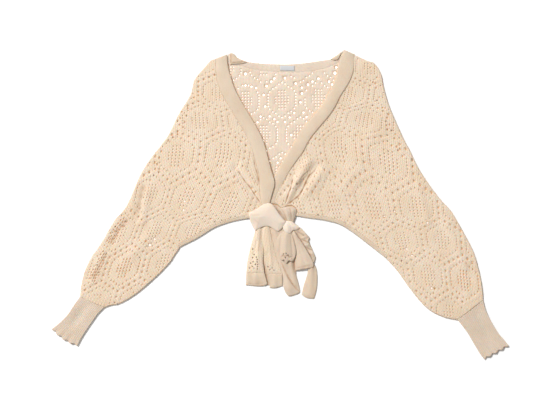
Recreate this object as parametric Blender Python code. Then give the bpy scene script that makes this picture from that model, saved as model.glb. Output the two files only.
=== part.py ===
"""A lace-knit wrap cardigan laid flat, its fronts tied in a knot below the V.

All tables are in millimetres in the garment's own frame: +X to the right of the
laid-out garment, +Y up to the neck, +Z off the surface it lies on. The origin is
under the middle of its outline, on that surface. A panel is drafted like a paper
pattern: seams are short tables, a panel is a loop of seams, and the cloth is one
wall lifted over the layer beneath it.
"""

import math
from collections import namedtuple

import bmesh
import bpy
import numpy as np
from mathutils import Vector
from mathutils.geometry import delaunay_2d_cdt

# Cloth
MM = 0.001
WALL = 2.2
SEAM_GAP = 0.3
LAYER = WALL + SEAM_GAP
PUFF = 3.0
PUFF_REACH = 14.0
HEM_WIDTH = 9.0
BAND_ARCH = 1.2
OUTLINE_STEP = 17.0
INNER_STEP = 27.0

# Lace: a honeycomb of six-sided medallions, each ringed by large eyelets
MEDALLION_WIDTH = 88.0
MEDALLION_HEIGHT = 112.0
MEDALLION_SIDE = 56.0
EYELETS_ON_SLANT = 4
EYELETS_ON_SIDE = 4
EYELET_RADIUS = 3.2
EYELET_STRETCH = 1.2
EYELET_MARGIN = 9.0
CREASE_STEP = 15.0
CREASE_SPREAD = 1.2
CREASE_CLEAR = 8.0
VEE_EYELET_SIDES = 6
VEE_LACE_BOTTOM = 150.0
EYELET_SIDES = 4

# Cuffs
RIBS = 12
RIB_HEIGHT = 0.9
CUFF_ROOM = 1.2
FRILL_WAVES = 4
FRILL_HEIGHT = 3.0
FRILL_NICK = 2.0
CUFF_LEFT_BULGE = 5.0
CUFF_EDGE = 0.04
CUFF_UNDER = 4
GATHERS = 8
GATHER_HEIGHT = 2.2
GATHER_REACH = 34.0
PLEATED = 1.25 * GATHER_REACH
CUFF_SEAM_STEP = 4.0

# Neck label
LABEL_MIDDLE = (17.0, 327.0)
LABEL_WIDTH = 34.0
LABEL_HEIGHT = 12.0
LABEL_THICKNESS = 0.8
LABEL_TILT = math.radians(-1.5)

At = namedtuple("At", "x y")
BandRow = namedtuple("BandRow", "seam_x seam_y vee_x vee_y seam_lift vee_lift")
SleeveRow = namedtuple("SleeveRow", "top_x top_y under_x under_y")
Fold = namedtuple("Fold", "x0 y0 x1 y1 width height")
Rim = namedtuple("Rim", "x y lift corner")
Medallion = namedtuple("Medallion", "column row x y")
Drape = namedtuple("Drape", "name rim rise reach step pitch material")

SHOULDER_LEFT = [
    At(-154, 349), At(-166, 345), At(-179, 331), At(-205, 300),
    At(-215, 264), At(-243, 217), At(-271, 162), At(-308, 114),
]
SHOULDER_RIGHT = [
    At(175, 360), At(194, 351), At(212, 343), At(225, 339), At(241, 314),
    At(248, 280), At(262, 234), At(292, 165), At(311, 129), At(328, 93),
]
FRONT_EDGE_LEFT = [
    At(-241, -102), At(-198, -80), At(-161, -57), At(-131, -45), At(-100, -37), At(-73, -33),
]
FRONT_EDGE_RIGHT = [
    At(254, -129), At(207, -92), At(170, -64), At(139, -46), At(103, -37), At(60, -31), At(38, -27),
]
BACK_EDGE = [
    At(-241, -102), At(-200, -77), At(-163, -53), At(-131, -41), At(-100, -33), At(-73, -29),
    At(-20, -25), At(38, -23), At(103, -33), At(139, -42), At(170, -60), At(207, -88), At(254, -129),
]
KNOT_END_LEFT = [At(-73, -33), At(-56, -14), At(-41, -3)]
KNOT_END_RIGHT = [
    At(38, -27), At(41, -14), At(31, -3), At(18, -2), At(4, -8), At(-7, 0), At(-15, 2),
]
NECK_TOP = [
    At(-126, 360), At(-119, 364), At(-111, 361), At(-101, 352), At(-91, 348), At(-77, 343),
    At(-44, 339), At(11, 337), At(47, 339), At(73, 342), At(100, 346), At(118, 349),
    At(129, 355), At(150, 369),
]
NECK_SEAM = [
    At(-125, 334), At(-97, 333), At(-73, 328), At(-44, 322), At(11, 318),
    At(47, 318), At(83, 322), At(115, 330), At(139, 341),
]
NECK_CORNER_LEFT = At(-128, 350)
NECK_CORNER_RIGHT = At(148, 353)

BAND_LEFT = [
    BandRow(-154, 349, -127, 360, 3.0, 4.0),
    BandRow(-153, 318, -125, 330, 3.5, 5.5),
    BandRow(-147, 289, -117, 302, 4.0, 6.0),
    BandRow(-135, 261, -107, 274, 4.0, 6.0),
    BandRow(-111, 220, -86, 235, 4.0, 6.0),
    BandRow(-85, 177, -60, 192, 4.5, 6.5),
    BandRow(-67, 138, -41, 154, 5.0, 7.0),
    BandRow(-56, 100, -28, 108, 5.0, 7.5),
    BandRow(-49, 72, -20, 78, 5.5, 8.0),
    BandRow(-47, 45, -13, 52, 6.5, 8.5),
    BandRow(-46, 22, -20, 23, 6.5, 8.0),
    BandRow(-41, -3, -27, -3, 6.2, 6.4),
]
BAND_RIGHT = [
    BandRow(175, 360, 152, 371, 3.5, 4.5),
    BandRow(175, 337, 141, 344, 4.5, 4.5),
    BandRow(172, 316, 137, 324, 6.0, 5.0),
    BandRow(160, 289, 132, 303, 6.5, 5.0),
    BandRow(143, 263, 121, 277, 6.5, 5.0),
    BandRow(130, 237, 107, 251, 6.5, 5.0),
    BandRow(113, 212, 92, 228, 6.5, 5.0),
    BandRow(73, 164, 51, 180, 6.5, 5.0),
    BandRow(53, 129, 31, 144, 6.5, 5.0),
    BandRow(36, 105, 15, 120, 6.0, 4.5),
    BandRow(18, 78, -2, 91, 5.0, 3.6),
    BandRow(-1, 41, -23, 51, 3.6, 2.7),
    BandRow(-9, 21, -30, 27, 3.2, 2.7),
    BandRow(-15, 2, -32, 5, 3.0, 2.7),
]

SLEEVE_LEFT = [
    SleeveRow(-308, 114, -241, -102),
    SleeveRow(-332, 77, -253, -120),
    SleeveRow(-350, 37, -265, -138),
    SleeveRow(-370, -6, -289, -164),
    SleeveRow(-397, -38, -314, -187),
    SleeveRow(-423, -83, -341, -210),
    SleeveRow(-452, -126, -368, -228),
    SleeveRow(-469, -162, -389, -238),
    SleeveRow(-477, -195, -406, -241),
    SleeveRow(-480, -221, -423, -247),
]
SLEEVE_RIGHT = [
    SleeveRow(328, 93, 254, -129),
    SleeveRow(354, 52, 271, -147),
    SleeveRow(384, 12, 290, -171),
    SleeveRow(409, -15, 309, -198),
    SleeveRow(429, -49, 332, -227),
    SleeveRow(448, -83, 352, -248),
    SleeveRow(465, -119, 375, -262),
    SleeveRow(477, -162, 395, -270),
    SleeveRow(484, -200, 412, -274),
    SleeveRow(486, -229, 425, -276),
]
CUFF_LEFT = [
    SleeveRow(-480, -221, -423, -247),
    SleeveRow(-494, -240, -437, -261),
    SleeveRow(-507, -260, -450, -279),
    SleeveRow(-521, -276, -463, -298),
    SleeveRow(-536, -289, -477, -320),
    SleeveRow(-547, -297, -486, -338),
]
CUFF_RIGHT = [
    SleeveRow(486, -229, 425, -276),
    SleeveRow(493, -254, 437, -291),
    SleeveRow(506, -281, 451, -311),
    SleeveRow(522, -307, 465, -335),
    SleeveRow(538, -326, 479, -358),
    SleeveRow(547, -337, 489, -369.5),
]

# Middles of medallions on the laid-out panels; columns are half a medallion wide
LACE_BACK = [
    Medallion(0, 0, 4, 251), Medallion(2, 0, 92, 254), Medallion(-2, 0, -84, 248),
    Medallion(-1, 1, -40, 167), Medallion(1, 1, 48, 167), Medallion(-8, 4, -350, -80),
    Medallion(9, 5, 420, -170), Medallion(-6, 0, -255, 245), Medallion(6, 0, 265, 248),
]
LACE_LEFT = [
    Medallion(0, 0, -193, 201), Medallion(1, -1, -145, 267), Medallion(-1, 1, -250, 117),
    Medallion(1, 1, -134, 121), Medallion(-2, 2, -310, 24), Medallion(0, 2, -226, 11),
    Medallion(2, 2, -121, 0), Medallion(-3, 3, -387, -68), Medallion(-1, 3, -301, -63),
    Medallion(1, 3, -209, -63), Medallion(-2, 4, -374, -152), Medallion(0, 4, -279, -143),
]
LACE_RIGHT = [
    Medallion(0, 0, 201, 203), Medallion(-1, -1, 163, 263), Medallion(-1, 1, 139, 136),
    Medallion(1, 1, 261, 102), Medallion(-2, 2, 131, -3), Medallion(0, 2, 223, -8),
    Medallion(2, 2, 328, -8), Medallion(1, 3, 292, -87), Medallion(3, 3, 388, -85),
    Medallion(2, 4, 355, -169), Medallion(4, 4, 441, -183), Medallion(-3, 1, 61, 102),
]

# Creases of the front layer: height above or below the cloth around them
FRONT_FOLDS = [
    Fold(-106, 88, -61, 22, 7, -2.6),
    Fold(-92, 92, -52, 34, 9, 3.2),
    Fold(-128, 86, -74, 14, 11, 2.2),
    Fold(-61, 120, -48, 60, 5, -2.0),
    Fold(85, 91, 60, 56, 8, -2.8),
    Fold(60, 56, 34, 10, 8, -3.0),
    Fold(66, 100, 42, 60, 11, 5.0),
    Fold(42, 60, 20, 22, 9, 4.6),
    Fold(100, 78, 66, 30, 12, 3.0),
    Fold(31, 69, 19, 23, 5, -1.6),
    Fold(-333, 42, -345, -35, 8, -2.2),
    Fold(-318, 30, -330, -40, 10, 2.4),
    Fold(-394, -65, -409, -97, 8, -2.0),
    Fold(-425, -133, -452, -183, 9, 2.4),
    Fold(-300, -60, -380, -150, 14, 2.0),
    Fold(-236, 196, -150, 40, 22, 1.8),
    Fold(248, 220, 150, 40, 22, 1.8),
    Fold(330, 40, 352, -40, 11, 2.4),
    Fold(398, -50, 446, -150, 13, 2.6),
    Fold(322, -120, 392, -220, 14, 2.0),
    Fold(452, -150, 462, -214, 8, -1.8),
]
KNOT_MIDDLE = At(-25, -10)
KNOT_CALM = 0.45
KNOT_CALM_REACH = 70.0

# The knot and its tails: each outline with the height of its underside
KNOT_WRAP = [
    Rim(-75, -20, 8.4, False), Rim(-58, -11, 9.2, False), Rim(-40, 1, 9.6, False),
    Rim(-24, 3, 10.4, False), Rim(-14, -5, 10.4, False), Rim(-1, -24, 9.6, False),
    Rim(14, -42, 9.0, True), Rim(4, -57, 8.0, False), Rim(-5, -65, 7.4, False),
    Rim(-14, -60, 8.0, False), Rim(-28, -51, 8.8, False), Rim(-49, -54, 8.0, False),
    Rim(-60, -63, 6.4, True), Rim(-68, -48, 4.4, False), Rim(-73, -34, 7.0, False),
]
KNOT_LOOP = [
    Rim(-15, -1, 3.0, True), Rim(-6, -3, 3.4, False), Rim(4, -11, 3.4, False),
    Rim(18, -5, 4.2, False), Rim(30, -6, 4.2, False), Rim(38, -14, 3.6, False),
    Rim(35.5, -27, 2.6, False), Rim(32, -37, 2.4, False), Rim(31, -45, 2.4, True),
    Rim(19, -46, 2.8, False), Rim(8, -46, 2.6, True), Rim(-6, -27, 2.6, False),
]
KNOT_NUB = [
    Rim(17, -43, 8.2, False), Rim(28, -43, 7.7, False), Rim(34, -54, 7.2, False),
    Rim(29, -68, 6.9, False), Rim(16, -67, 7.0, False), Rim(9.5, -57, 7.6, False),
]
TAIL_LACE = [
    Rim(-57, -50, 1.0, True), Rim(-60, -63, 0.8, False), Rim(-66, -86, 0.3, False),
    Rim(-72, -110, 0.0, False), Rim(-78, -136, 0.0, False), Rim(-81, -164, 0.0, True),
    Rim(-38, -164, 4.4, True), Rim(-42, -132, 4.8, False), Rim(-41, -110, 4.0, False),
    Rim(-43.5, -82, 1.6, False), Rim(-44, -48, 1.0, True),
]
TAIL_LACE_HEM = [
    Rim(-81, -164, 0.0, True), Rim(-82, -193, 0.0, True), Rim(-58, -195, 0.0, False),
    Rim(-42, -195, 1.0, False), Rim(-31, -191, 3.0, True), Rim(-38, -164, 4.4, True),
]
TAIL_MIDDLE = [
    Rim(-43, -48, 1.0, True), Rim(-42, -84, 0.8, False), Rim(-42, -108, 0.2, False),
    Rim(-44, -134, 0.0, False), Rim(-34, -166, 0.0, True), Rim(5, -166, 0.0, True),
    Rim(-9, -127, 0.6, False), Rim(-17, -94, 1.0, False), Rim(-21, -74, 1.0, False),
    Rim(-26, -48, 1.0, True),
]
TAIL_MIDDLE_HEM = [
    Rim(-34, -166, 0.0, True), Rim(-26, -199, 0.0, True), Rim(-12, -200, 0.0, False),
    Rim(5, -195, 0.0, True), Rim(5, -166, 0.0, True),
]
TAIL_STRIP = [
    Rim(-26, -48, 1.0, True), Rim(-21, -74, 1.0, False), Rim(-17, -94, 1.0, False),
    Rim(-9, -127, 0.6, False), Rim(5, -166, 0.0, False), Rim(8, -198, 0.0, False),
    Rim(17, -217, 0.0, False), Rim(27, -219, 0.0, False), Rim(45, -212, 0.0, False),
    Rim(47, -205, 0.0, False), Rim(44, -190, 0.0, False), Rim(37, -167, 0.4, False),
    Rim(31, -147, 0.8, False), Rim(24, -121, 1.0, False), Rim(20, -92, 1.2, False),
    Rim(17, -72, 1.2, False), Rim(12, -58, 1.2, False), Rim(2, -48, 1.0, True),
]
TAIL_LOBE = [
    Rim(12, -70, 7.0, False), Rim(-3, -75, 6.4, False), Rim(-10, -92, 5.6, False),
    Rim(-7, -116, 5.4, False), Rim(3, -134, 5.4, False), Rim(9, -132, 8.4, False),
    Rim(14, -141, 6.4, False), Rim(21, -134, 8.6, False), Rim(30, -136, 6.4, False),
    Rim(38, -115, 6.6, False), Rim(33, -88, 6.8, False), Rim(24, -70, 7.2, False),
]
TAIL_FAN = [
    Rim(23, -60, 3.7, True), Rim(32, -59, 3.5, True), Rim(38, -70, 3.8, False),
    Rim(59, -103, 5.0, False), Rim(78, -137, 5.6, False), Rim(79, -150, 5.6, True),
    Rim(66, -153, 5.4, False), Rim(50, -156, 4.0, False), Rim(37, -158, 3.0, True),
    Rim(35, -142, 2.4, False), Rim(36, -128, 2.2, False), Rim(34, -109, 2.2, False),
    Rim(29, -87, 2.4, False),
]
TAIL_RUFFLE = [
    Rim(34, -47, 3.4, True), Rim(50, -57, 0.6, False), Rim(60, -68, 3.6, False),
    Rim(71, -81, 0.0, False), Rim(67, -87, 3.8, False), Rim(75, -103, 0.0, False),
    Rim(79, -115, 3.6, False), Rim(85, -127, 0.0, False), Rim(82, -136, 1.6, True),
    Rim(78, -137, 1.8, False), Rim(59, -103, 2.2, False), Rim(38, -70, 2.6, False),
    Rim(32, -59, 3.5, True),
]
TAIL_END = [
    Rim(70, -143, 3.0, False), Rim(79, -141, 2.8, False), Rim(87, -155, 0.2, False),
    Rim(89, -181, 0.0, False), Rim(87, -204, 0.0, False), Rim(81, -226, 0.0, True),
    Rim(64, -224, 0.0, False), Rim(51, -216, 0.0, True), Rim(57, -192, 0.0, False),
    Rim(64, -171, 0.4, False),
]
BAND_TURN_LEFT = [
    Rim(-120, 362, 2.5, True), Rim(-111, 360, 2.5, False), Rim(-101, 351, 2.5, False),
    Rim(-91, 347, 2.5, False), Rim(-78, 342, 2.5, True), Rim(-92, 338, 2.6, False),
    Rim(-120, 336, 2.6, True),
]
BAND_TURN_RIGHT = [
    Rim(120, 348, 2.5, True), Rim(129, 354, 2.5, False), Rim(138, 359, 2.5, False),
    Rim(146, 366, 2.5, True), Rim(144, 358, 2.6, False), Rim(138, 347, 2.6, True),
    Rim(130, 346, 2.5, False),
]
CREAM = (0.82, 0.655, 0.48)
PLAIN = (0.83, 0.69, 0.54)
LABEL = (0.86, 0.85, 0.83)


def clear_scene():
    for old in list(bpy.data.objects):
        bpy.data.objects.remove(old, do_unlink=True)


def knit_material(name, colour, roughness=0.92):
    material = bpy.data.materials.new(name)
    material.use_nodes = True
    shader = material.node_tree.nodes["Principled BSDF"]
    shader.inputs["Base Color"].default_value = (*colour, 1.0)
    shader.inputs["Roughness"].default_value = roughness
    shader.inputs["Metallic"].default_value = 0.0
    return material


def catmull(before, start, end, after, t):
    """Point at t between start and end on a Catmull-Rom curve."""
    return 0.5 * (
        2 * start
        + (end - before) * t
        + (2 * before - 5 * start + 4 * end - after) * t * t
        + (3 * start - before - 3 * end + after) * t**3
    )


def curve_through(points, step):
    """Points about a step apart on a smooth open curve through the given ones."""
    points = [Vector(p) for p in points]
    padded = [2 * points[0] - points[1], *points, 2 * points[-1] - points[-2]]
    out = []
    for i in range(1, len(padded) - 2):
        run = (padded[i + 1].xy - padded[i].xy).length
        pieces = max(1, round(run / step))
        for k in range(pieces):
            out.append(catmull(*padded[i - 1 : i + 3], k / pieces))
    out.append(points[-1])
    return out


def seam(rows, step=OUTLINE_STEP):
    return curve_through([(row.x, row.y, 0.0) for row in rows], step)


def loop_of(*seams):
    """One closed outline from seams that meet end to end."""
    outline = []
    for points in seams:
        for point in points:
            if not outline or (point.xy - outline[-1].xy).length > 0.5:
                outline.append(point)
    if (outline[0].xy - outline[-1].xy).length < 0.5:
        outline.pop()
    return outline


def signed_area(outline):
    return 0.5 * sum(
        a.x * b.y - b.x * a.y for a, b in zip(outline, outline[1:] + outline[:1])
    )


def moved_in(outline, distance):
    """The outline moved inwards, so that two panels on one seam stay apart."""
    if signed_area(outline) < 0:
        outline = outline[::-1]
    out = []
    count = len(outline)
    for i, here in enumerate(outline):
        ahead = (outline[(i + 1) % count].xy - here.xy).normalized()
        behind = (here.xy - outline[i - 1].xy).normalized()
        normal = Vector((-ahead.y - behind.y, ahead.x + behind.x))
        if normal.length < 0.3:
            normal = Vector((-ahead.y, ahead.x))
        normal.normalize()
        miter = max(0.5, normal.dot(Vector((-ahead.y, ahead.x))))
        moved = here.xy + normal * (distance / miter)
        out.append(Vector((moved.x, moved.y, here.z)))
    return out


def moved_aside(points, distance):
    """An open line moved to the left of its own direction."""
    out = []
    for i, here in enumerate(points):
        along = (points[min(i + 1, len(points) - 1)].xy - points[max(i - 1, 0)].xy).normalized()
        out.append(Vector((here.x - along.y * distance, here.y + along.x * distance, 0.0)))
    return out


def split_at(line, edge, distance):
    """The part of a line that lies further than a distance from an edge it starts on."""
    for i, (a, b) in enumerate(zip(line, line[1:])):
        near, far = to_line(a.x, a.y, edge), to_line(b.x, b.y, edge)
        if near <= distance < far:
            return [a.lerp(b, (distance - near) / (far - near)), *line[i + 1 :]]
    return line


def to_segment(x, y, x0, y0, x1, y1):
    """Distance from a point to a segment, and how far along it the foot lies."""
    dx, dy = x1 - x0, y1 - y0
    t = ((x - x0) * dx + (y - y0) * dy) / (dx * dx + dy * dy)
    t = min(1.0, max(0.0, t))
    return math.hypot(x - x0 - t * dx, y - y0 - t * dy), t


def to_line(x, y, points):
    return min(
        to_segment(x, y, a.x, a.y, b.x, b.y)[0] for a, b in zip(points, points[1:])
    )


def inside(x, y, outline):
    odd = False
    for a, b in zip(outline, outline[1:] + outline[:1]):
        if (a.y > y) != (b.y > y) and x < (b.x - a.x) * (y - a.y) / (b.y - a.y) + a.x:
            odd = not odd
    return odd


def in_a_hole(corners, holes):
    middle = sum(corners, Vector((0.0, 0.0))) / 3
    return any(
        (middle - hole[0]).length < 3 * EYELET_RADIUS and inside(middle.x, middle.y, hole)
        for hole in holes
    )


def edge_of(rows, which):
    return curve_through([(row[which], row[which + 1], 0.0) for row in rows], OUTLINE_STEP)


def wall(name, outline, under, material, holes=(), inner=(), thickness=WALL, gap=SEAM_GAP):
    """One closed wall of cloth over an outline, pierced by holes."""
    outline = moved_in(outline, gap / 2)
    flat = [p.xy for p in outline]
    edges = [(i, (i + 1) % len(outline)) for i in range(len(outline))]
    for hole in holes:
        first = len(flat)
        flat.extend(Vector(p) for p in hole)
        edges.extend((first + i, first + (i + 1) % len(hole)) for i in range(len(hole)))
    flat.extend(Vector(p) for p in inner)
    points, _, faces, *_ = delaunay_2d_cdt(flat, edges, [], 1, 1e-5)
    open_places = [[Vector(p) for p in hole] for hole in holes]
    faces = [face for face in faces if not in_a_hole([points[i] for i in face], open_places)]
    used = sorted({i for face in faces for i in face})
    mesh = bmesh.new()
    low, high = {}, {}
    for i in used:
        x, y = points[i]
        z = under(x, y)
        low[i] = mesh.verts.new((x * MM, y * MM, z * MM))
        high[i] = mesh.verts.new((x * MM, y * MM, (z + thickness) * MM))
    sides = {}
    for face in faces:
        a, b, c = face
        turn = (points[b] - points[a]).cross(points[c] - points[a])
        if turn < 0:
            a, b, c = a, c, b
        mesh.faces.new((high[a], high[b], high[c]))
        mesh.faces.new((low[a], low[c], low[b]))
        for start, end in ((a, b), (b, c), (c, a)):
            sides[(start, end)] = sides.get((start, end), 0) + 1
    for start, end in sides:
        if (end, start) not in sides:
            mesh.faces.new((high[start], low[start], low[end]))
            mesh.faces.new((high[start], low[end], high[end]))
    return finish(name, mesh, material)


def finish(name, mesh, material):
    data = bpy.data.meshes.new(name)
    mesh.normal_update()
    mesh.to_mesh(data)
    mesh.free()
    data.materials.append(material)
    piece = bpy.data.objects.new(name, data)
    bpy.context.scene.collection.objects.link(piece)
    return piece


def grid_inside(outline, holes, step, keep_off):
    """A sparse triangular grid of points inside an outline, clear of its edge and holes."""
    xs = [p.x for p in outline]
    ys = [p.y for p in outline]
    middles = [
        (sum(p[0] for p in hole) / len(hole), sum(p[1] for p in hole) / len(hole)) for hole in holes
    ]
    ring = outline + outline[:1]
    out = []
    row = 0
    y = min(ys) + step / 2
    while y < max(ys):
        x = min(xs) + (step / 2 if row % 2 else 0.0)
        while x < max(xs):
            clear = all(math.hypot(x - mx, y - my) > EYELET_RADIUS * 2.4 for mx, my in middles)
            if clear and inside(x, y, outline) and to_line(x, y, ring) > keep_off:
                out.append((x, y))
            x += step
        y += step * 0.87
        row += 1
    return out


def crease_points(outline, holes):
    """Points along each crease and on both its flanks, where they lie on a panel."""
    ring = outline + outline[:1]
    out = []
    for fold in FRONT_FOLDS:
        start, end = Vector((fold.x0, fold.y0)), Vector((fold.x1, fold.y1))
        along = (end - start).normalized()
        aside = Vector((-along.y, along.x)) * fold.width * CREASE_SPREAD
        pieces = max(1, round((end - start).length / CREASE_STEP))
        for k in range(pieces + 1):
            for flank in (-1, 0, 1):
                point = start.lerp(end, k / pieces) + aside * flank
                clear = all((point - Vector(hole[0])).length > CREASE_STEP * 0.7 for hole in holes)
                apart = all((point - other).length > CREASE_STEP * 0.5 for other in out)
                on_panel = inside(*point, outline) and to_line(*point, ring) > EYELET_MARGIN
                if clear and apart and on_panel:
                    out.append(point)
    return out


def inner_points(outline, holes):
    """Crease points, and a sparse grid between them."""
    creases = crease_points(outline, holes)
    grid = grid_inside(outline, holes, INNER_STEP, EYELET_MARGIN)
    return creases + [
        Vector(p) for p in grid if all((Vector(p) - c).length > CREASE_STEP for c in creases)
    ]


def medallion_ring():
    """Places of the large eyelets round one medallion, from its middle."""
    half, side, top = MEDALLION_WIDTH / 2, MEDALLION_SIDE / 2, MEDALLION_HEIGHT / 2
    corners = [
        ((0, top), (half, side), EYELETS_ON_SLANT),
        ((half, side), (half, -side), EYELETS_ON_SIDE),
        ((half, -side), (0, -top), EYELETS_ON_SLANT),
        ((0, -top), (-half, -side), EYELETS_ON_SLANT),
        ((-half, -side), (-half, side), EYELETS_ON_SIDE),
        ((-half, side), (0, top), EYELETS_ON_SLANT),
    ]
    for (x0, y0), (x1, y1), count in corners:
        for k in range(count):
            yield x0 + (x1 - x0) * k / count, y0 + (y1 - y0) * k / count, k


class Chart:
    """The lace's flat chart, bent smoothly so that its medallions lie where the table says."""

    def __init__(self, rows):
        self.chart = np.array([
            (row.column * MEDALLION_WIDTH / 2, -row.row * (MEDALLION_HEIGHT + MEDALLION_SIDE) / 2)
            for row in rows
        ])
        count = len(rows)
        ones = np.hstack([np.ones((count, 1)), self.chart])
        system = np.zeros((count + 3, count + 3))
        system[:count, :count] = self.bend(self.chart)
        system[:count, count:] = ones
        system[count:, :count] = ones.T
        places = np.vstack([[(row.x, row.y) for row in rows], np.zeros((3, 2))])
        self.weights = np.linalg.solve(system, places)

    def bend(self, points):
        away = np.linalg.norm(points[:, None] - self.chart[None], axis=2) + 1e-9
        return away**2 * np.log(away)

    def __call__(self, u, v):
        point = np.array([[u, v]])
        terms = np.hstack([self.bend(point), [[1.0, u, v]]])
        return (terms @ self.weights)[0]


def eyelets(outline, chart, sides, wanted):
    """Eyelets of the lace that fit inside an outline and that the test wants."""
    ring = outline + outline[:1]
    taken, out = [], []
    for row in range(-3, 8):
        for column in range(-12 + row % 2, 13, 2):
            u = column * MEDALLION_WIDTH / 2
            v = -row * (MEDALLION_HEIGHT + MEDALLION_SIDE) / 2
            for du, dv, k in medallion_ring():
                x, y = chart(u + du, v + dv)
                if not wanted(x, y, k) or not inside(x, y, outline):
                    continue
                if to_line(x, y, ring) < EYELET_MARGIN:
                    continue
                if any(math.hypot(x - a, y - b) < 3.2 * EYELET_RADIUS for a, b in taken):
                    continue
                taken.append((x, y))
                out.append([
                    (
                        x + EYELET_RADIUS * math.cos(math.tau * i / sides),
                        y + EYELET_STRETCH * EYELET_RADIUS * math.sin(math.tau * i / sides),
                    )
                    for i in range(sides)
                ])
    return out


def every_other(x, y, k):
    """Every other eyelet of a medallion, from its corners, clear of the creases."""
    return k % 2 == 0 and all(
        to_segment(x, y, fold.x0, fold.y0, fold.x1, fold.y1)[0] > CREASE_CLEAR
        for fold in FRONT_FOLDS
    )


class FrontLayer:
    """Height of the front layer's underside over the whole laid-out garment."""

    def __init__(self):
        self.folded_edges = [
            top_edge(SHOULDER_LEFT, SLEEVE_LEFT), edge_of(SLEEVE_LEFT, 2), seam(FRONT_EDGE_LEFT),
            top_edge(SHOULDER_RIGHT, SLEEVE_RIGHT), edge_of(SLEEVE_RIGHT, 2), seam(FRONT_EDGE_RIGHT),
        ]

    def __call__(self, x, y):
        edge = min(to_line(x, y, line) for line in self.folded_edges)
        lift = PUFF * (1 - math.exp(-edge / PUFF_REACH))
        for fold in FRONT_FOLDS:
            away, _ = to_segment(x, y, fold.x0, fold.y0, fold.x1, fold.y1)
            lift += fold.height * math.exp(-((away / fold.width) ** 2)) * (1 - math.exp(-edge / 8))
        for cuff in (CUFF_LEFT, CUFF_RIGHT):
            lift += gathers(x, y, cuff[0])
        knot = math.hypot(x - KNOT_MIDDLE.x, y - KNOT_MIDDLE.y)
        lift *= 1 - KNOT_CALM * math.exp(-((knot / KNOT_CALM_REACH) ** 2))
        return LAYER + max(0.0, lift)


def gathers(x, y, top):
    """Small pleats where the sleeve is drawn into its cuff."""
    away, along = to_segment(x, y, top.top_x, top.top_y, top.under_x, top.under_y)
    wave = 0.5 - 0.5 * math.cos(math.tau * GATHERS * along)
    return GATHER_HEIGHT * wave * max(0.0, 1 - away / GATHER_REACH)


def gather_points(top, side):
    """Points on the crests and troughs of the pleats above a cuff."""
    start, end = Vector((top.top_x, top.top_y)), Vector((top.under_x, top.under_y))
    across = (end - start).normalized()
    up = Vector((-across.y, across.x)) * side
    for k in range(2, 2 * GATHERS - 1):
        base = start.lerp(end, k / (2 * GATHERS))
        for away in (GATHER_REACH * 0.45, GATHER_REACH * 1.0):
            if away < GATHER_REACH * 0.9 or k % 2:
                spread = 1 + 0.35 * away / GATHER_REACH
                middle = start.lerp(end, 0.5)
                yield tuple(middle + (base - middle) * spread + up * away)


def on_the_floor(x, y):
    return 0.0


def top_edge(shoulder, sleeve):
    """The folded top edge, from the neck along the shoulder and the sleeve to the cuff."""
    rows = shoulder + [At(row.top_x, row.top_y) for row in sleeve[1:]]
    return seam(rows)


def cuff_seam_of(sleeve):
    last = sleeve[-1]
    middle = At((last.top_x + last.under_x) / 2, (last.top_y + last.under_y) / 2)
    return seam([At(last.top_x, last.top_y), middle, At(last.under_x, last.under_y)], CUFF_SEAM_STEP)


def front_panels(over, cream, plain):
    """Each front with its sleeve in one piece, as a batwing is cut, and its hem strip."""
    left_seam = [At(row.seam_x, row.seam_y) for row in BAND_LEFT]
    right_seam = [At(row.seam_x, row.seam_y) for row in BAND_RIGHT]
    sides = (
        ("left", SHOULDER_LEFT, SLEEVE_LEFT, FRONT_EDGE_LEFT, KNOT_END_LEFT, left_seam,
         1, Chart(LACE_LEFT)),
        ("right", SHOULDER_RIGHT, SLEEVE_RIGHT, FRONT_EDGE_RIGHT, KNOT_END_RIGHT, right_seam,
         -1, Chart(LACE_RIGHT)),
    )
    for side, shoulder, sleeve, edge_rows, knot_rows, band_rows, turn, chart in sides:
        edge = seam(edge_rows)
        cuff_seam = cuff_seam_of(sleeve)
        knot_end = split_at(seam(knot_rows, 9), edge, HEM_WIDTH)
        hem_top = [*moved_aside(edge, turn * HEM_WIDTH)[:-1], knot_end[0]]
        outline = loop_of(
            top_edge(shoulder, sleeve), cuff_seam, edge_of(sleeve, 2)[::-1],
            hem_top, knot_end, seam(band_rows)[::-1],
        )
        holes = [
            hole for hole in eyelets(outline, chart, EYELET_SIDES, every_other)
            if to_line(*hole[0], cuff_seam) > PLEATED
        ]
        ring = outline + outline[:1]
        pleats = [
            p for p in gather_points(sleeve[-1], turn)
            if inside(*p, outline) and to_line(*p, ring) > 3
        ]
        inner = [p for p in inner_points(outline, holes) if to_line(*p, cuff_seam) > PLEATED]
        wall(f"front_with_sleeve_{side}", outline, over, cream, holes, inner + pleats)
        wall(f"front_hem_{side}", loop_of(edge, hem_top[::-1]), over, plain)


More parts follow.
